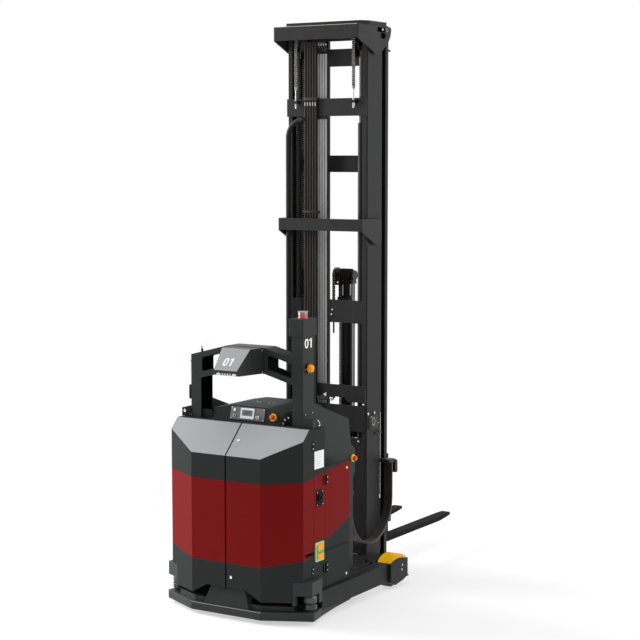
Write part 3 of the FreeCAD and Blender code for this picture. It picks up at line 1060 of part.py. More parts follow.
def middle_mast():
    """Middle stage: nested rails, cross-members and the sheave brackets on top."""
    z0 = MAST_FOOT_Z + 6
    out_rear = OUTER_RAIL_X - MIDDLE_WEB_X1
    part = rail(MIDDLE_WEB_X0, MIDDLE_WEB_X1, MIDDLE_RAIL_Y, z0, MIDDLE_TOP_Z, FLANGE_HALF, FLANGE_HALF, FLANGE_HALF,
                out_rear)
    notch = box(MIDDLE_WEB_X1, OUTER_WEB_IN_X, MIDDLE_RAIL_Y - 1, MIDDLE_RAIL_Y + FLANGE_T + 1,
                MIDDLE_ROLLER_Z - ROLLER_R - 12, MIDDLE_ROLLER_Z + ROLLER_R + 12)
    pin = cyl("x", MIDDLE_WEB_X1 - 1, MIDDLE_ROLLER_Y, MIDDLE_ROLLER_Z, ROLLER_PIN_R,
              OUTER_WEB_IN_X - MIDDLE_WEB_X1 - 1)
    boss = box(MIDDLE_WEB_X0, MIDDLE_WEB_X1, MIDDLE_ROLLER_Y - 34, MIDDLE_RAIL_Y + FLANGE_T, MIDDLE_ROLLER_Z - 60,
               MIDDLE_ROLLER_Z + 60)
    part = fuse(cut(part, notch), pin, boss)
    cross_x = MIDDLE_WEB_X0 + 1
    crosses = [box(0, cross_x, MIDDLE_RAIL_Y, MIDDLE_RAIL_Y + CROSS_T, z, z + h)
               for z, h in (MIDDLE_CROSS, (z0, 160))]
    head = box(HEAD_X0, MIDDLE_WEB_X1, CYL_Y - 24, MIDDLE_RAIL_Y + 1, HEAD_Z0, HEAD_Z0 + 30)
    cheek = box(HEAD_X0, HEAD_X0 + 8, CHAIN_FRONT_Y + SHEAVE_R - 20, MIDDLE_RAIL_Y + 1, HEAD_Z0, SHEAVE_Z + 30)
    inner_cheek = box(CHAIN_X - SHEAVE_W / 2 - 12, CHAIN_X - SHEAVE_W / 2 - 4, CHAIN_FRONT_Y + SHEAVE_R - 20,
                      MIDDLE_RAIL_Y + 1, 4240, SHEAVE_Z + 30)
    pin_2 = cyl("x", CHAIN_X - SHEAVE_W / 2 - 12, CHAIN_FRONT_Y + SHEAVE_R, SHEAVE_Z, 14, HEAD_X0 + 8
                - (CHAIN_X - SHEAVE_W / 2 - 12))
    half = fuse(part, *crosses, head, cheek, inner_cheek, pin_2)
    return fuse(half, mirrored(half))


HEAD_X0 = CHAIN_X + SHEAVE_W / 2 + 4
HEAD_Z0 = 4290.0
MIDDLE_CROSS = (4173.0, 139.0)   # lower edge and height of the middle stage's upper cross-member


def lift_rod():
    """Chrome rod of a main lift cylinder. Its head bears on the middle stage."""
    z0 = CYL_TOP_Z - LIFT_STAGE_STROKE - 60
    return cyl("z", CYL_X, CYL_Y, z0, CYL_ROD_R, HEAD_Z0 - z0)


def main_cylinder():
    """Main lift cylinder: a tube on the mast foot with a gland at its top."""
    z0 = CYL_FOOT_Z
    body = cyl("z", CYL_X, CYL_Y, z0, CYL_R, CYL_TOP_Z - z0)
    bore = cyl("z", CYL_X, CYL_Y, z0 + 40, CYL_R - 6, CYL_TOP_Z - z0 - 70)
    gland = cyl("z", CYL_X, CYL_Y, z0 + 40, CYL_ROD_R + RUN_FIT, CYL_TOP_Z - z0)
    return cut(body, bore, gland)


def top_sheave():
    sheave = cyl("x", CHAIN_X - SHEAVE_W / 2, CHAIN_FRONT_Y + SHEAVE_R, SHEAVE_Z, SHEAVE_R + 1, SHEAVE_W)
    groove = tube("x", CHAIN_X - CHAIN_W / 2 - 0.5, CHAIN_FRONT_Y + SHEAVE_R, SHEAVE_Z, SHEAVE_R + 10,
                  SHEAVE_R - CHAIN_T / 2 - 0.3, CHAIN_W + 1)
    bore = cyl("x", CHAIN_X - SHEAVE_W, CHAIN_FRONT_Y + SHEAVE_R, SHEAVE_Z, 14 + RUN_FIT, SHEAVE_W * 2)
    return cut(sheave, groove, bore)


ANCHOR_Z = 3888.0
CHAIN_LUG_Z = 730.0           # where the chains are pinned to the inner stage
EYE_Z = 4004.0
EYE_R = 13.0


def main_chain():
    """Main lift chain: up from the anchor, over the sheave and down behind the cross-members."""
    lo, hi = CHAIN_X - CHAIN_W / 2, CHAIN_X + CHAIN_W / 2
    return ribbon(lo, hi, CHAIN_T,
                  run_z(CHAIN_FRONT_Y, EYE_Z + EYE_R, SHEAVE_Z),
                  bend(CHAIN_FRONT_Y + SHEAVE_R, SHEAVE_Z, SHEAVE_R, 0, 180),
                  run_z(CHAIN_FRONT_Y + 2 * SHEAVE_R, CHAIN_LUG_Z + 24, SHEAVE_Z))


def chain_anchor():
    """Eye bolt through a lug on the upper cross-member, with its nut and lock nut."""
    x, y = CHAIN_X, CHAIN_FRONT_Y
    lug = box(x - 22, x + 22, y - 14, FRONT_CROSS_Y, ANCHOR_Z - 10, ANCHOR_Z + 10)
    bolt = cyl("z", x, y, ANCHOR_Z - 52, 6, EYE_Z - ANCHOR_Z + 44)
    eye = fuse(cyl("x", x - 7, y, EYE_Z, EYE_R, 14), box(x - 7, x + 7, y - 6, y + 6, EYE_Z - 20, EYE_Z))
    nuts = [prism("z", z, z + 12, *[(x + 11 * math.cos(math.radians(60 * i)), y + 11 * math.sin(math.radians(60 * i)))
                                    for i in range(6)]) for z in (ANCHOR_Z - 24, ANCHOR_Z - 38)]
    return fuse(lug, bolt, eye, *nuts)


def inner_mast():
    """Inner stage: the rails that carry the fork carriage, its cross-members and the free-lift foot."""
    z0 = MAST_FOOT_Z + 10
    out_front = MIDDLE_WEB_X0 - STAGE_GAP - INNER_WEB_X1
    part = rail(INNER_WEB_X0, INNER_WEB_X1, INNER_RAIL_Y, z0, INNER_TOP_Z, FLANGE_HALF, out_front, FLANGE_HALF,
                out_front + 36)
    notch = box(MIDDLE_WEB_X0 - FLANGE_HALF - STAGE_GAP, MIDDLE_WEB_X0, INNER_RAIL_Y - 1, INNER_RAIL_Y + FLANGE_T + 1,
                INNER_ROLLER_Z - ROLLER_R - 12, INNER_ROLLER_Z + ROLLER_R + 12)
    pin = cyl("x", INNER_WEB_X1 - 1, INNER_ROLLER_Y, INNER_ROLLER_Z, ROLLER_PIN_R, MIDDLE_WEB_X0 - INNER_WEB_X1 - 1)
    part = fuse(cut(part, notch), pin)
    x1 = INNER_WEB_X0 + 1
    top = box(0, INNER_WEB_X1, INNER_RAIL_Y, INNER_RAIL_Y + RAIL_DEPTH, INNER_TOP_Z, INNER_TOP_Z + 27)
    top = cut(top, box(-1, 150, INNER_RAIL_Y + 40, INNER_RAIL_Y + RAIL_DEPTH - 40, INNER_TOP_Z - 1, INNER_TOP_Z + 60))
    upper = box(0, x1, INNER_RAIL_Y, INNER_RAIL_Y + CROSS_T, INNER_TOP_Z - 120, INNER_TOP_Z + 1)
    foot = box(0, x1, INNER_RAIL_Y, INNER_RAIL_Y + RAIL_DEPTH - 30, z0, z0 + 30)
    foot = cut(foot, box(CARRIAGE_PLATE_X - 4, x1 + 1, INNER_RAIL_Y + 80, INNER_RAIL_Y + 300, 0, 300))
    tie = box(0, x1, INNER_RAIL_Y, INNER_RAIL_Y + CROSS_T, *INNER_TIE_Z)
    cross = box(0, x1, INNER_RAIL_Y, INNER_RAIL_Y + CROSS_T, 3327, 3462)
    lug_y = CHAIN_FRONT_Y + 2 * SHEAVE_R
    lug = box(INNER_WEB_X1 - 10, CHAIN_X + 6, lug_y, INNER_RAIL_Y + 1, CHAIN_LUG_Z - 30, CHAIN_LUG_Z)
    fork_end = box(CHAIN_X - 8, CHAIN_X + 6, lug_y - 8, lug_y + 8, CHAIN_LUG_Z - 30, CHAIN_LUG_Z + 24)
    half = fuse(part, top, upper, foot, tie, cross, lug, fork_end)
    return fuse(half, mirrored(half))


CARRIAGE_ROLLER_X = INNER_WEB_X0 - ROLLER_W - 3
CARRIAGE_PLATE_X = INNER_WEB_X0 - FLANGE_HALF - 4 - 16
FREE_ANCHOR_Z = 2150.0         # where the free-lift chain is pinned to its cylinder
INNER_TIE_Z = (1160.0, 1230.0)


def free_cylinder():
    """Free-lift cylinder: stands on the inner stage's foot. The chain's fixed end is bolted to its bracket."""
    z0 = MAST_FOOT_Z + 40
    y = FREE_CYL_Y - FREE_SHEAVE_R
    bracket = box(FREE_SHEAVE_X - 14, 0, y - 12, y + 12, FREE_ANCHOR_Z - 22, FREE_ANCHOR_Z)
    strap = box(-20, 0, y - 12, FREE_CYL_Y, FREE_ANCHOR_Z - 22, FREE_ANCHOR_Z)
    bolt = cyl("z", FREE_SHEAVE_X, y, FREE_ANCHOR_Z - 150, 7, 140)
    nut = cyl("z", FREE_SHEAVE_X, y, FREE_ANCHOR_Z - 40, 14, 19)
    body = fuse(cyl("z", 0, FREE_CYL_Y, z0, FREE_CYL_R, FREE_CYL_TOP_Z - z0), bracket, strap, bolt, nut)
    bore = cyl("z", 0, FREE_CYL_Y, z0 + 30, FREE_CYL_R - 7, FREE_CYL_TOP_Z - z0 - 70)
    gland = cyl("z", 0, FREE_CYL_Y, z0 + 30, FREE_ROD_R + RUN_FIT, FREE_CYL_TOP_Z - z0)
    return cut(body, bore, gland)


FREE_SHEAVE_X = -92.0
HOSE_SHEAVE_X0 = -52.0
HOSE_SHEAVE_X1 = 62.0


def free_rod():
    """Free-lift rod with its cross-head, sheave pin and guard."""
    z0 = FREE_CYL_TOP_Z - FREE_LIFT_UP / 2 - 60
    rod = cyl("z", 0, FREE_CYL_Y, z0, FREE_ROD_R, FREE_SHEAVE_Z - 60 - z0)
    block = box(-50, 74, FREE_CYL_Y - 34, FREE_CYL_Y + 34, FREE_SHEAVE_Z - 70, FREE_SHEAVE_Z - 46)
    lugs = [box(x, x + 8, FREE_CYL_Y - 26, FREE_CYL_Y + 26, FREE_SHEAVE_Z - 70, FREE_SHEAVE_Z + 22)
            for x in (HOSE_SHEAVE_X0 - 14, HOSE_SHEAVE_X1 + 4)]
    outer_lug = box(FREE_SHEAVE_X - 22, FREE_SHEAVE_X - 15, FREE_CYL_Y - 26, FREE_CYL_Y + 26, FREE_SHEAVE_Z - 70,
                    FREE_SHEAVE_Z + 22)
    sill = box(FREE_SHEAVE_X - 22, -49, FREE_CYL_Y - 26, FREE_CYL_Y + 26, FREE_SHEAVE_Z - 84, FREE_SHEAVE_Z - 69)
    pin = cyl("x", FREE_SHEAVE_X - 22, FREE_CYL_Y, FREE_SHEAVE_Z, 14, HOSE_SHEAVE_X1 + 12 - FREE_SHEAVE_X + 22)
    disc = cyl("x", HOSE_SHEAVE_X1 + 12, FREE_CYL_Y, FREE_SHEAVE_Z, 42, 6)
    return fuse(rod, block, *lugs, outer_lug, sill, pin, disc)


def free_sheaves():
    """Chain sheave and the grooved hose drum beside it, turning on one pin."""
    sheave = tube("x", FREE_SHEAVE_X - 13, FREE_CYL_Y, FREE_SHEAVE_Z, FREE_SHEAVE_R + 2, 14 + RUN_FIT, 26)
    groove = tube("x", FREE_SHEAVE_X - 10.5, FREE_CYL_Y, FREE_SHEAVE_Z, FREE_SHEAVE_R + 10,
                  FREE_SHEAVE_R - CHAIN_T / 2 - 0.3, 21)
    length = HOSE_SHEAVE_X1 - HOSE_SHEAVE_X0 - 8
    drum = tube("x", HOSE_SHEAVE_X0, FREE_CYL_Y, FREE_SHEAVE_Z, 44, 14 + RUN_FIT, length)
    grooves = []
    count = 5
    for i in range(count):
        x = HOSE_SHEAVE_X0 + length * (i + 0.5) / count
        grooves.append(Part.makeTorus(47, 8.5, Vector(x, FREE_CYL_Y, FREE_SHEAVE_Z), Vector(1, 0, 0)))
    return group(cut(sheave, groove), cut(drum, *grooves))


def free_chain():
    """Free-lift chain: from its bracket on the cylinder, over the sheave and down to the carriage."""
    lo, hi = FREE_SHEAVE_X - 10, FREE_SHEAVE_X + 10
    return ribbon(lo, hi, CHAIN_T,
                  run_z(FREE_CYL_Y - FREE_SHEAVE_R, FREE_ANCHOR_Z, FREE_SHEAVE_Z),
                  bend(FREE_CYL_Y, FREE_SHEAVE_Z, FREE_SHEAVE_R, 0, 180),
                  run_z(FREE_CYL_Y + FREE_SHEAVE_R, LOWER_BAR_Z + BAR_H, FREE_SHEAVE_Z))


# ---------------------------------------------------------------------------------------------------------
# Carriage and forks
# ---------------------------------------------------------------------------------------------------------

def fork_carriage():
    """Fork carriage: side plates that run in the inner rails, and two bars that carry the forks."""
    y1 = FORK_SHANK_Y
    y0 = y1 - BAR_T
    bars, hooks = [], []
    for z, half in ((LOWER_BAR_Z, LOWER_BAR_HALF_W), (UPPER_BAR_Z, CARRIAGE_HALF_W)):
        bars.append(box(-half, half, y0, y1, z, z + BAR_H))
        hooks.append(box(-half, half, y0, y0 + 16, z + BAR_H - 1, z + BAR_H + 10))
    plate_y0 = CARRIAGE_ROLLER_Y - 40
    plates = []
    for side in (-1, 1):
        a, b = sorted((side * CARRIAGE_PLATE_X, side * (CARRIAGE_PLATE_X + 16)))
        outline = [(plate_y0, 420), (y0 + 1, 400), (y0 + 1, UPPER_BAR_Z + BAR_H), (plate_y0 + 60, UPPER_BAR_Z + BAR_H),
                   (plate_y0, UPPER_BAR_Z + 20)]
        plates.append(prism("x", a, b, *outline))
        for z in CARRIAGE_ROLLER_Z:
            x0 = CARRIAGE_PLATE_X + 15 if side > 0 else -INNER_WEB_X0 + 2
            plates.append(cyl("x", x0, CARRIAGE_ROLLER_Y, z, ROLLER_PIN_R, INNER_WEB_X0 - 2 - CARRIAGE_PLATE_X - 15))
    web = box(-CARRIAGE_PLATE_X, CARRIAGE_PLATE_X, y0 - 20, y0 + 1, LOWER_BAR_Z + 10, LOWER_BAR_Z + BAR_H - 10)
    web_2 = box(-CARRIAGE_PLATE_X, CARRIAGE_PLATE_X, y0 - 20, y0 + 1, UPPER_BAR_Z + 10, UPPER_BAR_Z + BAR_H - 10)
    lug = box(FREE_SHEAVE_X - 16, FREE_SHEAVE_X + 16, FREE_CYL_Y + FREE_SHEAVE_R - 12, y0 + 1, LOWER_BAR_Z + 60,
              LOWER_BAR_Z + BAR_H)
    return fuse(bars[0], bars[1], *hooks, *plates, web, web_2, lug)


def fork():
    """Forged fork: upright shank with hooks, rounded heel and tapering blade."""
    x0, x1 = FORK_OUT_X - FORK_W, FORK_OUT_X
    y0 = FORK_SHANK_Y
    top = FORK_Z + FORK_T
    outline = [(y0, FORK_Z), (FORK_TIP_Y - FORK_TIP_LENGTH, FORK_Z), (FORK_TIP_Y - 3, top - 20), (FORK_TIP_Y, top - 15),
               (FORK_TIP_Y, top - 6), (FORK_TIP_Y - 6, top), (y0 + FORK_T, top), (y0 + FORK_T, SHANK_TOP_Z), (y0, SHANK_TOP_Z)]
    blade = prism("x", x0, x1, *outline)
    blade = fillet_along(blade, "x", 30, lambda p: abs(p.y - y0 - FORK_T) < 1 and abs(p.z - top) < 1)
    blade = fillet_along(blade, "x", 34, lambda p: abs(p.y - y0) < 1 and abs(p.z - FORK_Z) < 1)
    for s, x in ((-1, x0), (1, x1)):
        blade = cut(blade, prism("z", 0, top + 10, (x, FORK_TIP_Y - 110), (x + s * 60, FORK_TIP_Y - 110),
                                 (x + s * 60, FORK_TIP_Y + 5), (x - s * 24, FORK_TIP_Y + 5), (x - s * 7, FORK_TIP_Y - 14)))
    return blade


def roller_pair(x0, y, z, pin_r):
    """Two guide rollers on one axis line, each on its own stub pin."""
    roller = tube("x", x0, y, z, ROLLER_R, pin_r + RUN_FIT, ROLLER_W)
    return both(roller)


# ---------------------------------------------------------------------------------------------------------
# Hoses and cables
# ---------------------------------------------------------------------------------------------------------

HOSE_R = 12.0
HOSE_PITCH = 24.3
HOSE_X0 = -182.0
HOSE_Y = 1422.0
HOSE_BOTTOM_Z = 1150.0
HOSE_TOP_Z = 4366.0


def hose_pack():
    """Five lift hoses side by side on the front of the mast, joined by a clamp bar at each cross-member."""
    hoses = [cyl("z", HOSE_X0 + i * HOSE_PITCH, HOSE_Y, HOSE_BOTTOM_Z, HOSE_R, HOSE_TOP_Z - HOSE_BOTTOM_Z)
             for i in range(5)]
    return group(*hoses)


CABLE_R = 4.5
CABLE_PITCH = 24.0
CABLE_X0 = -84.0
CABLE_Y = OUTER_RAIL_Y + 5.5
CABLE_BOTTOM_Z = 1150.0
CABLE_TOP_Z = 4330.0
CONDUIT_BOTTOM_Z = 1250.0
CONDUIT_TOP_Z = 3752.0
CONDUIT_R = 20.0


def mast_cables():
    """Four sensor cables behind the front cross-members and the conduit down the left rail."""
    cables = []
    for i in range(4):
        x = CABLE_X0 + i * CABLE_PITCH
        cables.append(cyl("z", x, CABLE_Y, CABLE_BOTTOM_Z, CABLE_R, CABLE_TOP_Z - CABLE_BOTTOM_Z))
    x_side = -OUTER_RAIL_X + CONDUIT_R - 2
    x_in = HOSE_X0 - HOSE_R - 6
    turn = x_in - x_side
    z_turn = CONDUIT_TOP_Z - turn
    y = FRONT_CROSS_Y - CONDUIT_R - 0.5
    path = Part.Wire([
        Part.LineSegment(Vector(x_side, y, CONDUIT_BOTTOM_Z), Vector(x_side, y, z_turn)).toShape(),
        Part.Arc(Vector(x_side, y, z_turn),
                 Vector(x_in - turn * math.cos(math.pi / 4), y, z_turn + turn * math.sin(math.pi / 4)),
                 Vector(x_in, y, CONDUIT_TOP_Z)).toShape(),
    ])
    profile = Part.Wire([Part.makeCircle(CONDUIT_R, Vector(x_side, y, CONDUIT_BOTTOM_Z), Vector(0, 0, 1))])
    conduit = path.makePipeShell([profile], True, False)
    return group(*cables, conduit)


def cable_band():
    """Flat cable band that hangs in a loop between the housing and the mast and takes up the reach stroke."""
    y_low = BAND_MAST_Y - BAND_R
    return ribbon(BAND_X0, BAND_X0 + BAND_W, BAND_T,
                  run_z(BAND_MAST_Y, BAND_LOOP_Z, BAND_TOP_Z),
                  bend(y_low, BAND_LOOP_Z, BAND_R, 180, 180),
                  run_z(y_low - BAND_R, BAND_LOOP_Z, BAND_LOOP_Z + BAND_HOUSE_RISE))


# ---------------------------------------------------------------------------------------------------------
# Write every piece
# ---------------------------------------------------------------------------------------------------------

save("chassis_frame", fuse(chassis_frame(), nose()))
save("bumper_skirt", bumper())
save("leg_right", leg())
save("leg_left", mirrored(leg()))
save("front_door_right", front_door())
save("front_door_left", mirrored(front_door()))
save("side_panels", both(side_panel()))
save("rear_door_right", rear_door())
save("rear_door_left", mirrored(rear_door()))
save("corner_covers", both(corner_cover()))
save("corner_scanners", both(corner_scanner()))
save("rear_housing", rear_housing())
save("console_hood", hood())
save("control_plate", control_plate())
save("display", display())
save("button_white", push_button(BUTTON_X, BUTTON_WHITE_Z))
save("button_blue", push_button(BUTTON_X, BUTTON_BLUE_Z))
save("key_switch", key_switch())
side_ring = estop_on_side(estop_ring())
side_head = estop_on_side(estop_head())
save("estop_collars", group(estop_on_console(estop_ring()), side_ring, mirrored(side_ring)))
save("estop_console", estop_on_console(estop_head()))
save("estop_right", side_head)
save("estop_left", mirrored(side_head))
save("arch_post_right", right_post())
save("arch_bridge", arch())
save("sensor_box", sensor_box())
save("sensor_strip", sensor_strip())
save("beacon", beacon())
save("turn_lamps", both(turn_lamp()))
save("hook_brackets", both(hook_bracket()))
save("charging_contacts", charging_plate())
save("socket_plate", socket_plate())
save("battery", battery())
save("hydraulic_unit", hydraulic_unit())
save("steering_unit", steering_unit())
save("drive_wheel", drive_wheel())
save("load_wheel_right", load_wheel(1))
save("load_wheel_left", load_wheel(-1))
save("wheel_guards", both(wheel_guard()))
save("mast_base", mast_base())
save("outer_mast", outer_mast())
save("mast_side_covers", group(*side_cover(), *[mirrored(s) for s in side_cover()]))
save("main_cylinders", both(main_cylinder()))
save("lift_rods", both(lift_rod()))
save("chain_anchors", both(chain_anchor()))
save("main_chains", both(main_chain()))
save("top_sheaves", both(top_sheave()))
save("middle_mast", middle_mast())
save("inner_mast", inner_mast())
save("free_lift_cylinder", free_cylinder())
save("free_lift_rod", free_rod())
save("free_lift_sheaves", free_sheaves())
save("free_lift_chain", free_chain())
save("fork_carriage", fork_carriage())
save("forks", both(fork()))
save("carriage_rollers", group(*[roller_pair(CARRIAGE_ROLLER_X, CARRIAGE_ROLLER_Y, z, ROLLER_PIN_R)
                                for z in CARRIAGE_ROLLER_Z]))
save("middle_rollers", roller_pair(MIDDLE_WEB_X1 + 6, MIDDLE_ROLLER_Y, MIDDLE_ROLLER_Z, ROLLER_PIN_R))
save("inner_rollers", roller_pair(MIDDLE_WEB_X0 - ROLLER_W - 4, INNER_ROLLER_Y, INNER_ROLLER_Z, ROLLER_PIN_R))
save("mast_hoses", hose_pack())
save("mast_cables", mast_cables())
save("cable_band", cable_band())
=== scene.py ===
# %% [markdown]
# # A driverless reach truck, dressed around its engineering frame
# The truck stands on the floor with its drive housing towards us. A mast of three nested stages stands
# between two outrigger legs and carries the forks. Its solids were made as an engineering model, and this
# lesson gives them their finishes and adds what a workshop would bolt on: chains, hoses, screws and labels.

# %% Load the engineering frame
import math

import bmesh
import bpy
from mathutils import Matrix, Vector


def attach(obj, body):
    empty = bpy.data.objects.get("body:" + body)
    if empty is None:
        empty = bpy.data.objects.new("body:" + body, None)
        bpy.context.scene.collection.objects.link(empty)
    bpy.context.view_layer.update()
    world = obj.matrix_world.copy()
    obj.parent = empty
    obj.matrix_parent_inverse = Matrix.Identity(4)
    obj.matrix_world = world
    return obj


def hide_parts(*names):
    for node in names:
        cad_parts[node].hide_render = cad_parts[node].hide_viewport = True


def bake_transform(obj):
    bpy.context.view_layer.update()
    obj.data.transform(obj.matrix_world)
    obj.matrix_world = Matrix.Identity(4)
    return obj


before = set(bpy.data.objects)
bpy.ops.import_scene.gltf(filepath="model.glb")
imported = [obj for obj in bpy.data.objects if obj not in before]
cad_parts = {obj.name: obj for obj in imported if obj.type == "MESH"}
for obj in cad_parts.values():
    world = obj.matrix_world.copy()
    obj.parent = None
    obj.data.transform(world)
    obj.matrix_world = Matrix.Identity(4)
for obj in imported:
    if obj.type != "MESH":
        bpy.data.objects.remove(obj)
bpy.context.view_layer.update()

# %% [markdown]
# ## Millimetres from the nose
# A workshop measures such a truck in millimetres from the nose of its bumper. The frame is in metres from
# the middle of its length. One matrix turns the first into the second, so that every number below can be
# read off a drawing.

# %% One matrix from workshop millimetres to the frame
NOSE = 1.554
at = Matrix.Translation
TO_FRAME = at((0, -NOSE, 0)) @ Matrix.Scale(0.001, 4)


def spot(x, y, z):
    """A point given in workshop millimetres, in the frame's metres."""
    return TO_FRAME @ Vector((x, y, z))


print("the nose is at", tuple(spot(0, 0, 0)))

# %% [markdown]
# ## Camera
# A long lens from far away keeps the mast's edges almost parallel. It stands to the right of the nose and
# looks slightly down.

# %% The camera
scene = bpy.context.scene


def in_scene(name, data):
    """An object that shows the data in the scene."""
    made = bpy.data.objects.new(name, data)
    scene.collection.objects.link(made)
    return made


LOOK_DOWN, LOOK_LEFT = 5.54, 31.76
camera_data = bpy.data.cameras.new("camera")
camera_data.lens, camera_data.sensor_width = 93.78, 36
camera = in_scene("camera", camera_data)
camera.location = (7.0414, -11.5834, 3.4391)
camera.rotation_euler = (math.radians(90 - LOOK_DOWN), 0, math.radians(LOOK_LEFT))
scene.camera = camera
scene.view_settings.view_transform = "Standard"
print("camera at", tuple(round(v, 2) for v in camera.location))

# %% [markdown]
# ## Shader nodes
# The room, the floor and every finish are small node trees. A few helpers keep them readable: one adds any
# node with its values, one does arithmetic, and one tells where a point lies on the truck.

# %% Node helpers
def add(tree, kind, operation=None, **values):
    """A shader node, or a node group, with values for its sockets, named by number (i0, i1) or by name."""
    grouped = not isinstance(kind, str)
    node = tree.nodes.new("ShaderNodeGroup" if grouped else "ShaderNode" + kind)
    if grouped:
        node.node_tree = kind
    if operation:
        node.operation = operation
    for key, value in values.items():
        name = int(key[1:]) if key[0] == "i" and key[1:].isdigit() else key.replace("_", " ")
        if isinstance(value, bpy.types.NodeSocket):
            tree.links.new(value, node.inputs[name])
        else:
            node.inputs[name].default_value = value
    return node


def calc(tree, operation, *values):
    """The result of a math node."""
    inputs = {f"i{n}": value for n, value in enumerate(values)}
    return add(tree, "Math", operation, **inputs).outputs[0]


def place_of(tree):
    """The place on the truck in metres, as one vector socket."""
    return add(tree, "TexCoord").outputs["Object"]


def axes(tree):
    """The same place as X, Y and Z."""
    return add(tree, "SeparateXYZ", i0=place_of(tree)).outputs


def noise(tree, vector, scale, detail, roughness=0.5):
    """Cloudy noise from 0 to 1."""
    return add(tree, "TexNoise", Vector=vector, Scale=scale, Detail=detail, Roughness=roughness).outputs[0]


def ramp(tree, value, low, high, most=1.0):
    """Rises from 0 to most while the value goes from low to high."""
    return add(tree, "MapRange", Value=value, From_Min=low, From_Max=high, To_Max=most).outputs[0]


print("node helpers ready")

# %% [markdown]
# ## Light
# The studio is a white room. A large soft box on the left gives the folded doors their bright side, a
# weaker one fills the right side, and the room itself lights the rest. The background is white because
# camera, mirror and glass rays see a white world, and not because there is more light on the truck.

# %% World and soft boxes
WHITE = (1, 1, 1, 1)
world = bpy.data.worlds.new("studio")
scene.world = world
world.use_nodes = True
tree = world.node_tree
tree.nodes.clear()
room = add(tree, "Background", Color=WHITE, Strength=0.42)
white = add(tree, "Background", Color=WHITE, Strength=1.0)
path = add(tree, "LightPath").outputs
seen = calc(tree, "MAXIMUM", path["Is Camera Ray"], path["Is Transmission Ray"])
shiny = calc(tree, "MAXIMUM", seen, path["Is Glossy Ray"])
choice = add(tree, "MixShader", i0=shiny, i1=room.outputs[0], i2=white.outputs[0])
add(tree, "OutputWorld", Surface=choice.outputs[0])


def soft_box(name, place, target, width, height, watts):
    """A large rectangular lamp that points at the target."""
    data = bpy.data.lights.new(name, "AREA")
    data.shape = "RECTANGLE"
    data.size, data.size_y, data.energy = width, height, watts
    lamp = in_scene(name, data)
    lamp.location = place
    lamp.rotation_euler = (Vector(target) - Vector(place)).to_track_quat("-Z", "Y").to_euler()


soft_box("left_box", (-9.2, -2.8, 4.5), (0, -0.5, 1.6), 5.0, 7.0, 1800)
soft_box("right_box", (7.0, 2.5, 4.5), (0, -0.2, 1.2), 4.0, 6.0, 395)
soft_box("top_box", (0.5, -2.0, 9.5), (0, 0, 0), 6.0, 6.0, 220)
print("three soft boxes and a white room")

# %% [markdown]
# ## Floor
# A plain pale floor takes the soft shadow under the truck. Near the truck it is mostly an ordinary matt
# surface. Further out it fades to plain white, so that no horizon shows.

# %% The floor
FADE_NEAR, FADE_FAR, NEAR_SHARE = 1.6, 5.0, 0.55
bm = bmesh.new()
bmesh.ops.create_grid(bm, x_segments=1, y_segments=1, size=60)
floor_mesh = bpy.data.meshes.new("floor")
bm.to_mesh(floor_mesh)
bm.free()
floor = in_scene("floor", floor_mesh)
material = bpy.data.materials.new("studio_floor")
material.use_nodes = True
tree = material.node_tree
tree.nodes.clear()
matt = add(tree, "BsdfDiffuse", Color=(0.93, 0.93, 0.93, 1))
glow = add(tree, "Emission", Strength=1.0)
away = add(tree, "VectorMath", "LENGTH", i0=place_of(tree)).outputs["Value"]
fade = add(tree, "MapRange", Value=away, From_Min=FADE_NEAR, From_Max=FADE_FAR, To_Min=NEAR_SHARE)
fade.interpolation_type = "SMOOTHERSTEP"
path = add(tree, "LightPath").outputs
seen = calc(tree, "MAXIMUM", path["Is Camera Ray"], path["Is Glossy Ray"])
share = calc(tree, "MULTIPLY", fade.outputs[0], seen)
mix = add(tree, "MixShader", i0=share, i1=matt.outputs[0], i2=glow.outputs[0])
add(tree, "OutputMaterial", Surface=mix.outputs[0])
floor_mesh.materials.append(material)
print("floor ready")

# %% [markdown]
# ## Finishes
# Powder coat, moulded plastic, rubber and rolled steel all differ in the same few ways: how much their tone
# drifts, how fine their grain is, how their corners wear and where dust settles. Three node groups make
# these effects once. Each material then mixes them with its own values and keeps its own shader.

# %% Group: tone and grain
COLOUR, VALUE, VECTOR = "NodeSocketColor", "NodeSocketFloat", "NodeSocketVector"


def new_group(name, inputs, outputs):
    """An empty shader group with the named sockets; returns it, what goes in and what comes out."""
    group = bpy.data.node_groups.new(name, "ShaderNodeTree")
    for label, kind, value in inputs:
        group.interface.new_socket(label, in_out="INPUT", socket_type=kind).default_value = value
    for label, kind in outputs:
        group.interface.new_socket(label, in_out="OUTPUT", socket_type=kind)
    return group, group.nodes.new("NodeGroupInput").outputs, group.nodes.new("NodeGroupOutput").inputs


tone_group, given, result = new_group(
    "tone_and_grain",
    [("Color", COLOUR, (0.5, 0.5, 0.5, 1)), ("Spread", VALUE, 0.1), ("Patch Scale", VALUE, 6.0),
     ("Stretch", VECTOR, (1, 1, 1)), ("Roughness", VALUE, 0.4), ("Roughness Spread", VALUE, 0.1),
     ("Grain Scale", VALUE, 700.0)],
    [("Color", COLOUR), ("Roughness", VALUE), ("Height", VALUE)])
tree = tone_group
where = place_of(tree)
stretched = add(tree, "VectorMath", "MULTIPLY", i0=where, i1=given["Stretch"]).outputs[0]
patches = calc(tree, "SUBTRACT", noise(tree, stretched, given["Patch Scale"], 5.0), 0.5)
drift = calc(tree, "MULTIPLY_ADD", patches, given["Spread"], 1.0)
tinted = add(tree, "VectorMath", "SCALE", i0=given["Color"], Scale=drift)
smears = calc(tree, "SUBTRACT", noise(tree, stretched, 23.0, 3.0), 0.5)
rough = calc(tree, "MULTIPLY_ADD", smears, given["Roughness Spread"], given["Roughness"])
tree.links.new(tinted.outputs[0], result["Color"])
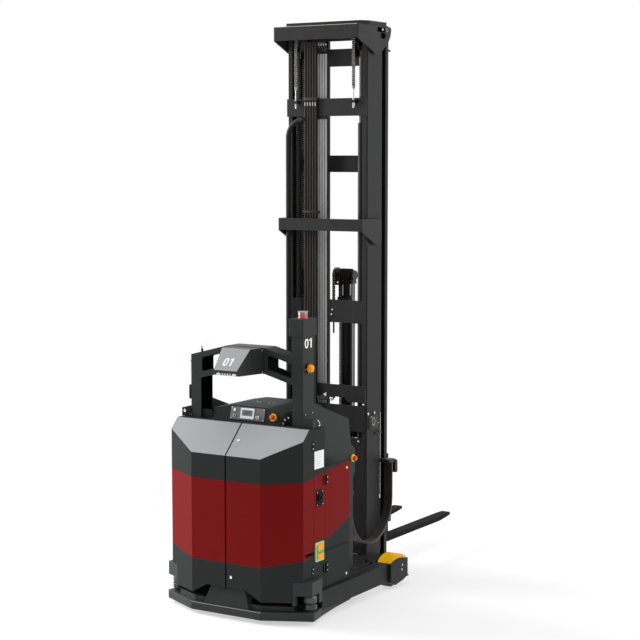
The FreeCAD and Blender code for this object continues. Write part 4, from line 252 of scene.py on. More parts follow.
tree.links.new(rough, result["Roughness"])
tree.links.new(noise(tree, where, given["Grain Scale"], 2.0), result["Height"])
print("group", tree.name)

# %% Group: worn edges
wear_group, given, result = new_group(
    "edge_wear", [("Radius", VALUE, 0.003), ("Amount", VALUE, 0.5)], [("Mask", VALUE), ("Normal", VECTOR)])
tree = wear_group
rounded = add(tree, "Bevel", Radius=given["Radius"])
rounded.samples = 6
flat = add(tree, "NewGeometry").outputs["Normal"]
agree = add(tree, "VectorMath", "DOT_PRODUCT", i0=rounded.outputs[0], i1=flat).outputs["Value"]
chips = ramp(tree, noise(tree, place_of(tree), 60.0, 6.0, 0.7), 0.42, 0.62)
both = calc(tree, "MULTIPLY", ramp(tree, agree, 0.995, 0.80), chips)
tree.links.new(calc(tree, "MULTIPLY", both, given["Amount"]), result["Mask"])
tree.links.new(rounded.outputs[0], result["Normal"])
print("group", tree.name)

# %% Group: settled dust
dust_group, given, result = new_group("settled_dust", [("Amount", VALUE, 0.2)], [("Mask", VALUE)])
tree = dust_group
normal = add(tree, "NewGeometry").outputs["Normal"]
level = ramp(tree, add(tree, "SeparateXYZ", i0=normal).outputs["Z"], 0.55, 1.0)
low = ramp(tree, axes(tree)["Z"], 0.30, 0.0, 0.7)
clouds = ramp(tree, noise(tree, place_of(tree), 9.0, 7.0, 0.6), 0.35, 0.75)
both = calc(tree, "MULTIPLY", calc(tree, "MAXIMUM", level, low), clouds)
tree.links.new(calc(tree, "MULTIPLY", both, given["Amount"]), result["Mask"])
print("group", tree.name)


# %% A finish from the three groups
def mix_colour(tree, factor, a, b):
    """Colour a where the factor is 0 and colour b where it is 1."""
    node = tree.nodes.new("ShaderNodeMix")
    node.data_type = "RGBA"
    tree.links.new(factor, node.inputs["Factor"])
    for socket, value in ((node.inputs["A"], a), (node.inputs["B"], b)):
        if isinstance(value, bpy.types.NodeSocket):
            tree.links.new(value, socket)
        else:
            socket.default_value = (*value[:3], 1)
    return node.outputs["Result"]


DUST = (0.30, 0.29, 0.27)


def finish(name, colour, roughness=0.4, metallic=0.0, specular=0.12, coat=0.0, spread=0.12, patch=5.0,
           stretch=(1, 1, 1), rough_spread=0.12, grain=700.0, bump=0.06, radius=0.0025, wear=0.3,
           bare=(0.16, 0.16, 0.16), dust=0.12):
    """A material. colour is a plain colour, or a function that paints the tree and returns a colour socket."""
    material = bpy.data.materials.new(name)
    material.use_nodes = True
    tree = material.node_tree
    shader = tree.nodes["Principled BSDF"]
    base = colour(tree) if callable(colour) else (*colour, 1)
    tone = add(tree, tone_group, Color=base, Spread=spread, Patch_Scale=patch, Stretch=stretch,
               Roughness=roughness, Roughness_Spread=rough_spread, Grain_Scale=grain).outputs
    worn = add(tree, wear_group, Radius=radius, Amount=wear).outputs
    dusty = add(tree, dust_group, Amount=dust).outputs["Mask"]
    shade = mix_colour(tree, worn["Mask"], tone["Color"], bare)
    tree.links.new(mix_colour(tree, dusty, shade, DUST), shader.inputs["Base Color"])
    tree.links.new(calc(tree, "MULTIPLY_ADD", dusty, 0.35, tone["Roughness"]), shader.inputs["Roughness"])
    bumps = add(tree, "Bump", Height=tone["Height"], Normal=worn["Normal"], Strength=bump, Distance=0.001)
    tree.links.new(bumps.outputs[0], shader.inputs["Normal"])
    shader.inputs["Metallic"].default_value = metallic
    shader.inputs["Specular IOR Level"].default_value = specular
    shader.inputs["Coat Weight"].default_value = coat
    return material


# %% [markdown]
# ## The door paint
# The doors and side panels carry one design: a red band that rises towards the back, and a pale upper facet.
# It could be unwrapped and painted, but the doors are separate solids and the band has to run across their
# gaps. So the paint reads each point's place on the truck. Two curves along the length give the band's lower
# and upper edges, and the pale part is whatever lies on the sloping plane of the nose.

# %% The band and the facet as a function of place
RED, PALE, DARK = (0.158, 0.0062, 0.0062), (0.33, 0.335, 0.34), (0.0212, 0.0228, 0.0230)
# DOOR_DARK is the same dark grey as DARK, made lighter on the doors as painted light.
DOOR_DARK = (0.0243, 0.0260, 0.0263)
BAND_LOW = [(5, 425), (139, 480), (211, 485), (468, 584), (803, 699)]
BAND_HIGH = [(5, 1048), (145, 1065), (292, 1085), (456, 1102), (809, 1142)]
CURVE_SPAN = 1500
FACET_SLOPE = 0.97
FACET_FOOT = 1.240 + FACET_SLOPE * (NOSE - 0.005) - 0.0012


def height_curve(tree, along, points):
    """A curve of height against distance from the nose; both run 0 to 1 over the curve's span."""
    node = tree.nodes.new("ShaderNodeFloatCurve")
    curve = node.mapping.curves[0]
    curve.points[0].location = (0.0, points[0][1] / CURVE_SPAN)
    curve.points[1].location = (1.0, points[-1][1] / CURVE_SPAN)
    for y, z in points:
        curve.points.new(y / CURVE_SPAN, z / CURVE_SPAN).handle_type = "VECTOR"
    node.mapping.update()
    tree.links.new(along, node.inputs["Value"])
    return node.outputs[0]


def door_design(tree):
    place = axes(tree)
    along = calc(tree, "MULTIPLY_ADD", place["Y"], 1000 / CURVE_SPAN, 1000 * NOSE / CURVE_SPAN)
    height = calc(tree, "MULTIPLY", place["Z"], 1000 / CURVE_SPAN)
    above = calc(tree, "GREATER_THAN", height, height_curve(tree, along, BAND_LOW))
    below = calc(tree, "LESS_THAN", height, height_curve(tree, along, BAND_HIGH))
    plane = calc(tree, "MULTIPLY_ADD", place["Y"], -FACET_SLOPE, place["Z"])
    facet = calc(tree, "GREATER_THAN", plane, FACET_FOOT)
    shade = mix_colour(tree, calc(tree, "MULTIPLY", above, below), DOOR_DARK, RED)
    return mix_colour(tree, facet, shade, PALE)


# %% [markdown]
# ## Other finishes that depend on place
# Some solids hold more than one material on the real truck: a sensor box with a pale window frame, an anchor
# with a bright bolt through a painted lug. Others carry painted light, such as a chain with a painted highlight
# at every pitch. Each of these compares the place with a plane and chooses a colour.

# %% Two colours on either side of a plane
def above_plane(tree, slope, height, low, high):
    """One colour above a plane that rises with distance from the nose, another below it. Millimetres."""
    place = axes(tree)
    level = calc(tree, "MULTIPLY_ADD", place["Y"], -slope, place["Z"])
    over = calc(tree, "GREATER_THAN", level, height / 1000 + slope * NOSE)
    return mix_colour(tree, over, low, high)


def sensor_design(tree):
    slope = 149 / 143
    return above_plane(tree, slope, 1876 - slope * 12 - 1.5, (0.034, 0.035, 0.0355), (0.31, 0.315, 0.32))


def anchor_design(tree):
    """Bright bolts through lugs that are painted like the mast."""
    low = above_plane(tree, 0, 3877, (0.40, 0.40, 0.39), (0.02, 0.02, 0.02))
    return above_plane(tree, 0, 3899, low, (0.34, 0.34, 0.33))


def beacon_design(tree):
    return above_plane(tree, 0, 2298, (0.60, 0.115, 0.12), (0.55, 0.56, 0.56))


def contact_design(tree):
    pad = calc(tree, "GREATER_THAN", axes(tree)["X"], 0.6095)
    return mix_colour(tree, pad, (0.36, 0.62, 0.30), (0.80, 0.33, 0.02))


def bracket_design(tree):
    # Inside X 0.42 m the bracket is near-black: painted shade between the post and the side panel.
    outer = calc(tree, "GREATER_THAN", axes(tree)["X"], 0.42)
    return mix_colour(tree, outer, (0.004, 0.004, 0.0045), DARK)


PITCH = 15.875


def chain_design(tree):
    """A painted highlight band across the dark oily steel, once for every pitch."""
    step = calc(tree, "FRACT", calc(tree, "DIVIDE", axes(tree)["Z"], PITCH / 1000))
    painted_glint = calc(tree, "GREATER_THAN", step, 0.55)
    return mix_colour(tree, painted_glint, (0.012, 0.011, 0.010), (0.42, 0.40, 0.38))


def rail_design(tree):
    """Rolled profiles are near-black: black paint, darkened further as painted shade inside the mast. The cross-members
    between them are lighter.
    """
    profile = calc(tree, "GREATER_THAN", calc(tree, "ABSOLUTE", axes(tree)["X"]), 0.240)
    return mix_colour(tree, profile, (0.0165, 0.0158, 0.0160), (0.0070, 0.0066, 0.0065))


def skirt_design(tree):
    """A painted highlight along the front edge, and a dark seam at each end of it."""
    place = axes(tree)
    aside = calc(tree, "ABSOLUTE", place["X"])
    edge = calc(tree, "COMPARE", place["Z"], 0.0898, 0.0036)
    # The lip mask is a painted highlight where the top front edge catches the light.
    lip = calc(tree, "MULTIPLY", edge, calc(tree, "LESS_THAN", aside, 0.3160))
    seam = calc(tree, "COMPARE", aside, 0.3172, 0.0014)
    shade = mix_colour(tree, lip, (0.031, 0.033, 0.0335), (0.20, 0.205, 0.21))
    return mix_colour(tree, seam, shade, (0.003, 0.003, 0.003))


# %% Painted metal
ALONG_MAST = dict(stretch=(1, 1, 0.08), spread=0.35, patch=14.0, rough_spread=0.25, bump=0.08)
COAT = dict(roughness=0.42, bump=0.08, wear=0.25, dust=0.05, radius=0.003)
paint = {
    "rails": finish("rail_paint_and_shade", rail_design, roughness=0.45, specular=0.2, wear=0.2, dust=0.0, **ALONG_MAST),
    "mast": finish("black_mast_paint", (0.0230, 0.0222, 0.0225), roughness=0.36, wear=0.35, dust=0.10, **ALONG_MAST),
    "dark": finish("dark_grey_powder_coat", DARK, **COAT),
    "mid": finish("mid_grey_powder_coat", (0.033, 0.035, 0.0355), **COAT),
    "bracket": finish("hook_bracket_paint_and_shade", bracket_design, roughness=0.45, wear=0.15, dust=0.0),
    "sensor": finish("sensor_box_paint", sensor_design, spread=0.05, bump=0.04, wear=0.1, dust=0.03),
    # The legs carry the dark grey paint, darkened here as painted shade.
    "leg": finish("leg_paint_shaded", (0.0115, 0.0125, 0.0125), roughness=0.42, bump=0.08, dust=0.08, radius=0.003),
    "door": finish("door_paint", door_design, roughness=0.36, specular=0.03, spread=0.06, patch=2.5, bump=0.03,
                   wear=0.15, dust=0.03, radius=0.003),
    "skirt": finish("skirt_paint", skirt_design, roughness=0.42, bump=0.08, wear=0.7, bare=(0.16, 0.165, 0.17),
                    dust=0.05, radius=0.005),
    "hood": finish("console_paint", DARK, roughness=0.5, specular=0.05, spread=0.08, wear=0.15, dust=0.0,
                   radius=0.003),
    "cover": finish("grey_mast_cover", (0.0185, 0.0188, 0.019), roughness=0.45, stretch=(1, 1, 0.15), bump=0.08,
                    wear=0.25, dust=0.06),
    "fork": finish("fork_paint", (0.0140, 0.0145, 0.0148), roughness=0.75, spread=0.4, patch=9.0, rough_spread=0.3,
                   stretch=(1, 0.3, 1), bump=0.10, wear=0.15, bare=(0.20, 0.19, 0.18), dust=0.0, specular=0.03),
    "plate": finish("bare_name_plate", (0.20, 0.205, 0.21), spread=0.05, bump=0.03, wear=0.1, dust=0.02),
    "yellow": finish("yellow_guard_paint", (0.74, 0.39, 0.001), roughness=0.35, specular=0.1, bump=0.05, wear=0.5,
                     bare=(0.35, 0.30, 0.2), dust=0.10),
    "hydraulic": finish("hydraulic_grey", (0.10, 0.11, 0.12), roughness=0.45),
    "battery": finish("battery_case_paint", (0.05, 0.055, 0.06), roughness=0.5, wear=0.4),
}
print(len(paint), "paints")

# %% Bare metals
CLEAN = dict(wear=0.0, dust=0.0)
BRIGHT = dict(specular=0.5, bump=0.05, radius=0.0006, **CLEAN)
metal = {
    "steel": finish("ground_steel", (0.55, 0.55, 0.56), roughness=0.30, metallic=1.0, spread=0.15, patch=30.0,
                    rough_spread=0.25, **BRIGHT),
    "zinc": finish("bright_zinc", (0.72, 0.72, 0.70), roughness=0.28, metallic=1.0, spread=0.2, patch=40.0,
                   rough_spread=0.2, **BRIGHT),
    "anchor": finish("zinc_anchor_bolt", anchor_design, roughness=0.35, metallic=0.9, spread=0.2, patch=40.0,
                     rough_spread=0.2, **BRIGHT),
    "chain": finish("oiled_chain_steel", chain_design, metallic=0.7, specular=0.4, spread=0.6, patch=60.0,
                    rough_spread=0.3, bump=0.05, bare=(0.6, 0.6, 0.6), dust=0.0, radius=0.0005),
    # The lift rods are given a dark, half-metallic colour instead of bright chrome.
    "rod": finish("dark_lift_rod", (0.055, 0.055, 0.057), roughness=0.30, metallic=0.7, specular=0.4, spread=0.2,
                  stretch=(1, 1, 0.05), rough_spread=0.1, bump=0.01, radius=0.001, **CLEAN),
    "casting": finish("grey_casting", (0.030, 0.030, 0.032), roughness=0.55, metallic=0.3, spread=0.3, grain=450.0,
                      bump=0.35, wear=0.5, bare=(0.25, 0.25, 0.25), dust=0.05),
}
print(len(metal), "metals")

# %% Plastics
plastic = {
    "black": finish("black_moulding", (0.0045, 0.0045, 0.005), roughness=0.48, specular=0.06, grain=1400.0,
                    bump=0.15, wear=0.05, dust=0.0),
    # shadow_black is painted shade: a near-black, unreflecting material put in gaps, slots, pockets and open channels.
    "painted_shade": finish("shadow_black", (0.0006, 0.0006, 0.0006), roughness=0.9, specular=0.0, spread=0.1, bump=0.0,
                   **CLEAN),
    "gloss_black": finish("gloss_black_window", (0.006, 0.006, 0.007), roughness=0.12, specular=0.5, coat=0.3,
                          bump=0.0, **CLEAN),
    "panel": finish("control_panel_film", (0.155, 0.148, 0.142), roughness=0.45, grain=1500.0, bump=0.08,
                    radius=0.001, **CLEAN),
    "white": finish("white_moulding", (0.78, 0.79, 0.80), roughness=0.35, spread=0.03, bump=0.02, radius=0.001,
                    **CLEAN),
    "clip": finish("pale_clip", (0.34, 0.33, 0.31), roughness=0.45, spread=0.1, bump=0.02, wear=0.0, dust=0.05,
                   radius=0.001),
    "label": finish("white_label", (0.80, 0.80, 0.79), roughness=0.5, spread=0.04, bump=0.02, radius=0.0003, **CLEAN),
    "print": finish("grey_print", (0.42, 0.42, 0.42), roughness=0.6, spread=0.05, bump=0.0, radius=0.0002, **CLEAN),
    "green": finish("green_charging_board", (0.045, 0.38, 0.19), roughness=0.45, spread=0.15, patch=60.0, bump=0.03,
                    radius=0.0005, **CLEAN),
    "brown": finish("brown_terminal_block", (0.060, 0.044, 0.038), roughness=0.5, spread=0.2, bump=0.05, wear=0.0,
                    dust=0.05, radius=0.001),
    "screen": finish("display_glass", (0.12, 0.185, 0.175), roughness=0.12, specular=0.5, spread=0.15, bump=0.0,
                     radius=0.0003, **CLEAN),
    "blue": finish("blue_button_plastic", (0.03, 0.16, 0.42), roughness=0.3, spread=0.05, bump=0.02, **CLEAN),
    "red": finish("red_button_plastic", (0.62, 0.016, 0.012), roughness=0.3, specular=0.5, coat=0.2, spread=0.05,
                  bump=0.02, radius=0.0015, **CLEAN),
    "yellow": finish("yellow_collar_plastic", (0.80, 0.56, 0.03), roughness=0.38, spread=0.05, bump=0.03,
                     radius=0.001, **CLEAN),
    "contacts": finish("charging_board", contact_design, roughness=0.45, spread=0.1, patch=60.0, bump=0.05, **CLEAN),
    "lamp_red": finish("red_lens", beacon_design, roughness=0.22, specular=0.5, coat=0.4, spread=0.1, patch=40.0,
                       bump=0.02, **CLEAN),
    "lamp_amber": finish("amber_lens", (0.76, 0.28, 0.0005), roughness=0.25, specular=0.2, coat=0.1, spread=0.1,
                         patch=60.0, bump=0.02, **CLEAN),
    "scanner": finish("scanner_housing", (0.085, 0.088, 0.09), roughness=0.38, metallic=0.4, bump=0.05, wear=0.1,
                      dust=0.05),
}
print(len(plastic), "plastics")

# %% Rubbers
ALONG_CABLE = dict(stretch=(1, 1, 0.05), wear=0.0, dust=0.05, radius=0.001)
TREAD = dict(roughness=0.55, spread=0.4, patch=25.0, bump=0.2, dust=0.4)
rubber = {
    "hose": finish("hose_rubber", (0.020, 0.0175, 0.016), roughness=0.62, specular=0.1, spread=0.4, patch=30.0,
                   grain=1200.0, bump=0.12, **ALONG_CABLE),
    "sheath": finish("grey_cable_sheath", (0.46, 0.46, 0.455), roughness=0.45, spread=0.2, patch=20.0, bump=0.03,
                     **ALONG_CABLE),
    "cable": finish("cable_sheath", (0.018, 0.0175, 0.0175), roughness=0.45, grain=1500.0, bump=0.05, wear=0.0,
                    dust=0.05, radius=0.001),
    "band": finish("cable_band_rubber", (0.026, 0.0225, 0.021), roughness=0.42, specular=0.4, spread=0.3, patch=12.0,
                   grain=1100.0, bump=0.10, wear=0.2, bare=(0.07, 0.065, 0.06), dust=0.08, radius=0.002),
    "tread": finish("load_wheel_tread", (0.030, 0.028, 0.026), **TREAD),
    "drive_tread": finish("drive_wheel_tread", (0.085, 0.05, 0.028), **TREAD),
}
print(len(rubber), "rubbers")

# %% [markdown]
# ## Finishes on the solids
# The engineering solids keep their shape. Each gets the finish of the real part.

# %% Dress the solids
dress = [
    (paint["skirt"], "bumper_skirt"), (paint["dark"], "chassis_frame rear_housing arch_post_right arch_bridge"),
    (paint["hood"], "console_hood"), (paint["leg"], "leg_left leg_right"), (paint["sensor"], "sensor_box"),
    (paint["door"], "front_door_left front_door_right rear_door_left rear_door_right side_panels"),
    (paint["mid"], "corner_covers"), (paint["mast"], "mast_base outer_mast free_lift_cylinder fork_carriage"),
    (paint["rails"], "main_cylinders middle_mast inner_mast"), (paint["bracket"], "hook_brackets"),
    (paint["cover"], "mast_side_covers"), (paint["fork"], "forks"), (paint["yellow"], "wheel_guards"),
    (paint["hydraulic"], "hydraulic_unit"), (paint["battery"], "battery"),
    (metal["rod"], "lift_rods free_lift_rod"), (metal["anchor"], "chain_anchors"),
    (metal["casting"], "top_sheaves free_lift_sheaves steering_unit"),
    (metal["steel"], "middle_rollers inner_rollers carriage_rollers key_switch"), (metal["zinc"], "sensor_strip"),
    (metal["chain"], "main_chains free_lift_chain"), (plastic["contacts"], "charging_contacts"),
    (plastic["panel"], "control_plate"), (plastic["white"], "display button_white"),
    (plastic["blue"], "button_blue"), (plastic["yellow"], "estop_collars"),
    (plastic["red"], "estop_console estop_left estop_right"), (plastic["lamp_red"], "beacon"),
    (plastic["lamp_amber"], "turn_lamps"), (plastic["black"], "socket_plate"),
    (plastic["scanner"], "corner_scanners"), (rubber["hose"], "mast_hoses"), (rubber["cable"], "mast_cables"),
    (rubber["band"], "cable_band"), (rubber["tread"], "load_wheel_left load_wheel_right"),
    (rubber["drive_tread"], "drive_wheel"),
]
for look, names in dress:
    for name in names.split():
        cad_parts[name].data.materials[0] = look
dressed = sum(len(names.split()) for _, names in dress)
print(dressed, "of", len(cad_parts), "solids dressed")

# %% [markdown]
# ## Making added pieces
# Everything from here on is bolted to a solid or replaces a plain one. Each piece is built from primitives
# in workshop millimetres, turned into the frame once, and told which body it rides on.

# %% Primitives in workshop millimetres
def edges_of(verts):
    return list({e for v in verts for e in v.link_edges})


def only(kind, geometry):
    """The vertices, or the edges, in what an operator returned."""
    return [g for g in geometry if isinstance(g, kind)]


def block(bm, x, y, z, bevel=0.0):
    """A box between two values on each axis, in either order, with rounded edges if wanted."""
    size = [abs(pair[1] - pair[0]) for pair in (x, y, z)]
    middle = at([sum(pair) / 2 for pair in (x, y, z)])
    made = bmesh.ops.create_cube(bm, size=1.0, matrix=middle @ Matrix.Diagonal((*size, 1)))["verts"]
    if bevel:
        bmesh.ops.bevel(bm, geom=edges_of(made), offset=bevel, segments=2, profile=0.5, affect="EDGES", material=-1)


def rod(bm, start, end, radius, sides=20, tip=None):
    """A round bar from one point to another; with six sides it is a nut."""
    start, end = Vector(start), Vector(end)
    turn = (end - start).to_track_quat("Z", "Y").to_matrix().to_4x4()
    return bmesh.ops.create_cone(
        bm, cap_ends=True, segments=sides, radius1=radius, radius2=radius if tip is None else tip,
        depth=(end - start).length, matrix=at((start + end) / 2) @ turn)["verts"]


def lathe(bm, profile, place, steps=32):
    """Turns (radius, height) points round the local Z axis of the matrix."""
    before = set(bm.verts)
    points = [bm.verts.new((r, 0, h)) for r, h in profile]
    edges = [bm.edges.new(pair) for pair in zip(points, points[1:])]
    bmesh.ops.spin(bm, geom=points + edges, cent=(0, 0, 0), axis=(0, 0, 1), angle=math.tau, steps=steps, use_merge=True)
    bmesh.ops.transform(bm, matrix=place, verts=[v for v in bm.verts if v not in before])


def screw(bm, place, way, radius=6.0, height=5.0):
    """A socket-head screw on a surface; way points out of the surface."""
    way = Vector(way).normalized()
    place = Vector(place)
    sides = 18
    head = rod(bm, place, place + way * height, radius, sides)
    ends = {f for v in head for f in v.link_faces if len(f.verts) == sides}
    cap = max(ends, key=lambda f: f.calc_center_median().dot(way))
    for inward, outward in ((radius * 0.14, radius * 0.12), (radius * 0.34, 0), (radius * 0.02, -height * 0.6)):
        bmesh.ops.inset_individual(bm, faces=[cap], thickness=inward, depth=outward)


def turned(place, axis="X", sign=1):
    """A matrix whose local Z points forwards (axis X) or to the right (axis Y, or left with sign -1)."""
    return at(place) @ Matrix.Rotation(sign * math.pi / 2, 4, axis)


print("primitives ready")

# %% [markdown]
# A piece is a list of steps, and a step is a primitive followed by its values. So each line below reads like
# one entry of a parts list.

# %% From steps to a piece
def piece(name, bm, material, body, angle=32):
    """Turns a finished bmesh in millimetres into an object in the frame that rides on a body."""
    bmesh.ops.transform(bm, matrix=TO_FRAME, verts=bm.verts)
    bmesh.ops.recalc_face_normals(bm, faces=bm.faces)
    mesh = bpy.data.meshes.new(name)
    bm.to_mesh(mesh)
    bm.free()
    mesh.shade_smooth()
    mesh.set_sharp_from_angle(angle=math.radians(angle))
    mesh.materials.append(material)
    made = in_scene(name, mesh)
    if body:
        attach(made, body)
    return made


def build(name, material, body, *steps, place=None):
    """A piece from steps. With a place, the steps are measured from there."""
    bm = bmesh.new()
    for make, *values in steps:
        make(bm, *values)
    if place:
        bmesh.ops.transform(bm, matrix=place, verts=bm.verts)
    return piece(name, bm, material, body)


print("pieces can be built")

# %% [markdown]
# ## Lift chains
# A forklift lifts on leaf chains: rows of plates on pins, three plates and two in turn. A link is a short
# round-ended plate, so it is made from a low cylinder whose two halves are pulled apart. Three runs follow
# the solids they replace: up from the anchor, over the sheave and down to the next stage.

# %% Leaf-chain links
PLATE_R, PLATE_T, PIN_HALF = 6.0, 3.6, 14
OUTER_ROWS, INNER_ROWS = (-10.5, 0, 10.5), (-5.2, 5.2)


def leaf_links(bm, pins, x):
    """Plates and pins between consecutive (y, z) points."""
    for k, (a, b) in enumerate(zip(pins, pins[1:])):
        along = Vector((0, b[0] - a[0], b[1] - a[1]))
        c, s = along.y / along.length, along.z / along.length
        turn = Matrix(((0, 0, 1, 0), (c, -s, 0, 0), (s, c, 0, 0), (0, 0, 0, 1)))
        for row in INNER_ROWS if k % 2 else OUTER_ROWS:
            plate = bmesh.ops.create_cone(bm, cap_ends=True, segments=10, radius1=PLATE_R, radius2=PLATE_R,
                                          depth=PLATE_T)["verts"]
            for v in plate:
                v.co.x += math.copysign(along.length / 2, v.co.x)
            place = at((x + row, (a[0] + b[0]) / 2, (a[1] + b[1]) / 2)) @ turn
            bmesh.ops.transform(bm, matrix=place, verts=plate)
    for y, z in pins:
        rod(bm, (x - PIN_HALF, y, z), (x + PIN_HALF, y, z), PLATE_R / 2, 8)


def straight_pins(y, z0, z1):
    count = max(1, round(abs(z1 - z0) / PITCH))
    return [(y, z0 + (z1 - z0) * i / count) for i in range(count + 1)]


def arc_pins(y, z, radius):
    count = round(math.pi * radius / PITCH)
    turns = [math.pi * i / count for i in range(count + 1)]
    return [(y - radius * math.cos(turn), z + radius * math.sin(turn)) for turn in turns]


def leaf_chain(name, x_list, runs):
    """One piece for each run of the chain. A run is (label, pins, body)."""
    return [build(f"{name}_{label}", metal["chain"], body, *[(leaf_links, pins, x) for x in x_list])
            for label, pins, body in runs]


# %% Main lift chains
CHAIN_X, CHAIN_Y, EYE_TOP_Z = 270, 1412, 4017
SHEAVE_Z, SHEAVE_R, LUG_Z = 4385, 57, 754
front, over, rear = leaf_chain("lift_chain", (-CHAIN_X, CHAIN_X), [
    ("front", straight_pins(CHAIN_Y, EYE_TOP_Z, SHEAVE_Z), None),
    ("over", arc_pins(CHAIN_Y + SHEAVE_R, SHEAVE_Z, SHEAVE_R), "middle_stage"),
    ("rear", straight_pins(CHAIN_Y + 2 * SHEAVE_R, SHEAVE_Z, LUG_Z), None)])
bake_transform(front)
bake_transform(rear)
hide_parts("main_chains")
print("main chains:", sum(len(o.data.polygons) for o in (front, over, rear)), "faces")

# %% [markdown]
# ## Free-lift chain and hoses
# The rod in the middle carries a cross-head. One chain and five thin hoses run over it, so the carriage
# travels twice as far as the rod. A point on the rear strand at half height moves with half the travel.

# %% The chain over the free-lift rod
FREE_X, FREE_Y, FREE_R = -92, 1765, 56
FREE_Z, FREE_ANCHOR_Z, FREE_END_Z = 2480, 2150, 530
front, over, rear = leaf_chain("free_chain", (FREE_X,), [
    ("front", straight_pins(FREE_Y - FREE_R, FREE_ANCHOR_Z, FREE_Z), None),
    ("over", arc_pins(FREE_Y, FREE_Z, FREE_R), "free_lift"),
    ("rear", straight_pins(FREE_Y + FREE_R, FREE_Z, FREE_END_Z), None)])
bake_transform(front)
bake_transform(rear)
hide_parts("free_lift_chain")
print("free-lift chain:", sum(len(o.data.polygons) for o in (front, over, rear)), "faces")

# %% [markdown]
# The hoses beside it are rings of edges, pulled along the straight runs and spun over the drum. The rear
# strands have a pale sheath.

# %% The thin hoses beside it
DRUM_X, DRUM_PITCH, DRUM_HOSE_R, HOSE_R, HOSE_CLAMP_Z = -41.4, 21.2, 47, 8.2, 2300


def pull(bm, edges, vec, times):
    """Extrudes a ring of edges several times along a vector and returns the last ring."""
    for _ in range(times):
        grown = bmesh.ops.extrude_edge_only(bm, edges=edges)["geom"]
        edges = only(bmesh.types.BMEdge, grown)
        bmesh.ops.translate(bm, vec=vec, verts=only(bmesh.types.BMVert, grown))
    return edges


def hose_ring(bm, x, y, z):
    return bmesh.ops.create_circle(bm, segments=12, radius=HOSE_R, matrix=at((x, y, z)))["verts"]


def hose_run(bm, x, y, z0, z1, rings=24):
    pull(bm, edges_of(hose_ring(bm, x, y, z0)), (0, 0, (z1 - z0) / rings), rings)


def hose_arc(bm, x):
    ring = hose_ring(bm, x, FREE_Y - DRUM_HOSE_R, FREE_Z)
    bmesh.ops.spin(bm, geom=ring + edges_of(ring), cent=(x, FREE_Y, FREE_Z), axis=(1, 0, 0), angle=-math.pi, steps=16)


hose_x = [DRUM_X + i * DRUM_PITCH for i in range(5)]
front = build("free_lift_hoses_front", rubber["hose"], None,
              *[(hose_run, x, FREE_Y - DRUM_HOSE_R, HOSE_CLAMP_Z, FREE_Z) for x in hose_x])
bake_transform(front)
build("free_lift_hoses_over", rubber["hose"], "free_lift", *[(hose_arc, x) for x in hose_x])
rear = build("free_lift_hoses_rear", rubber["sheath"], None,
             *[(hose_run, x, FREE_Y + DRUM_HOSE_R, FREE_Z, FREE_END_Z) for x in hose_x])
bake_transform(rear)
clamp_x = (hose_x[0] - 12, hose_x[-1] + 12)
build("free_lift_hose_clamp", metal["casting"], "inner_stage",
      (block, clamp_x, (FREE_Y - 62, FREE_Y - 45.5), (HOSE_CLAMP_Z - 32, HOSE_CLAMP_Z + 2), 2))
build("carriage_hose_clamp", metal["casting"], "carriage",
      (block, clamp_x, (FREE_Y + 36, FREE_Y + 58), (FREE_END_Z - 30, FREE_END_Z + 2), 2))
print(len(hose_x), "hoses over the drum")

# %% [markdown]
# ## The hanging cable band
# The mast travels along the legs. Power and signals reach it through a flat band that hangs in a loop
# beside it. Real flat cable is a row of round cores in one rubber jacket, so its section has shallow lobes.
# The section is drawn once, pulled down the mast side, spun through the loop and pulled up to the housing.

# %% The band
BAND_X0, BAND_X1, BAND_T, BAND_R = 376, 456, 18, 322
BAND_MAST_Y, BAND_TOP_Z, BAND_LOOP_Z, BAND_RISE = 1737, 968, 680, 128
LOBES, LOBE_STEPS = 5, 4
STEPS = LOBES * LOBE_STEPS


def half_thickness(step):
    """Round lobes with a shallow valley between two of them, and thin ends."""
    if step in (0, STEPS):
        return BAND_T * 0.3
    return BAND_T / 2 * (0.86 + 0.14 * math.sin(step % LOBE_STEPS / LOBE_STEPS * math.pi))


bm = bmesh.new()
section = []
for side, order in ((1, range(STEPS)), (-1, range(STEPS, 0, -1))):
    for step in order:
        across = BAND_X0 + (BAND_X1 - BAND_X0) * step / STEPS
        section.append(bm.verts.new((across, BAND_MAST_Y + side * half_thickness(step), BAND_TOP_Z)))
ring = [bm.edges.new((section[i - 1], section[i])) for i in range(len(section))]
bm.faces.new(section)
ring = pull(bm, ring, (0, 0, (BAND_LOOP_Z - BAND_TOP_Z) / 12), 12)
spun = bmesh.ops.spin(bm, geom=ring + list({v for e in ring for v in e.verts}), axis=(1, 0, 0), angle=-math.pi,
                      cent=(0, BAND_MAST_Y - BAND_R, BAND_LOOP_Z), steps=56)
ring = pull(bm, only(bmesh.types.BMEdge, spun["geom_last"]), (0, 0, BAND_RISE / 6), 6)
bmesh.ops.contextual_create(bm, geom=ring)
band = piece("flat_cable_band", bm, rubber["band"], None, angle=50)
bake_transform(band)
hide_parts("cable_band")
print("band:", len(band.data.polygons), "faces")

# %% [markdown]
# ## Console
# The console leans back, so its pieces are placed on its face: x across, y out of the face, z up the face.
# A matrix turns those into workshop millimetres.

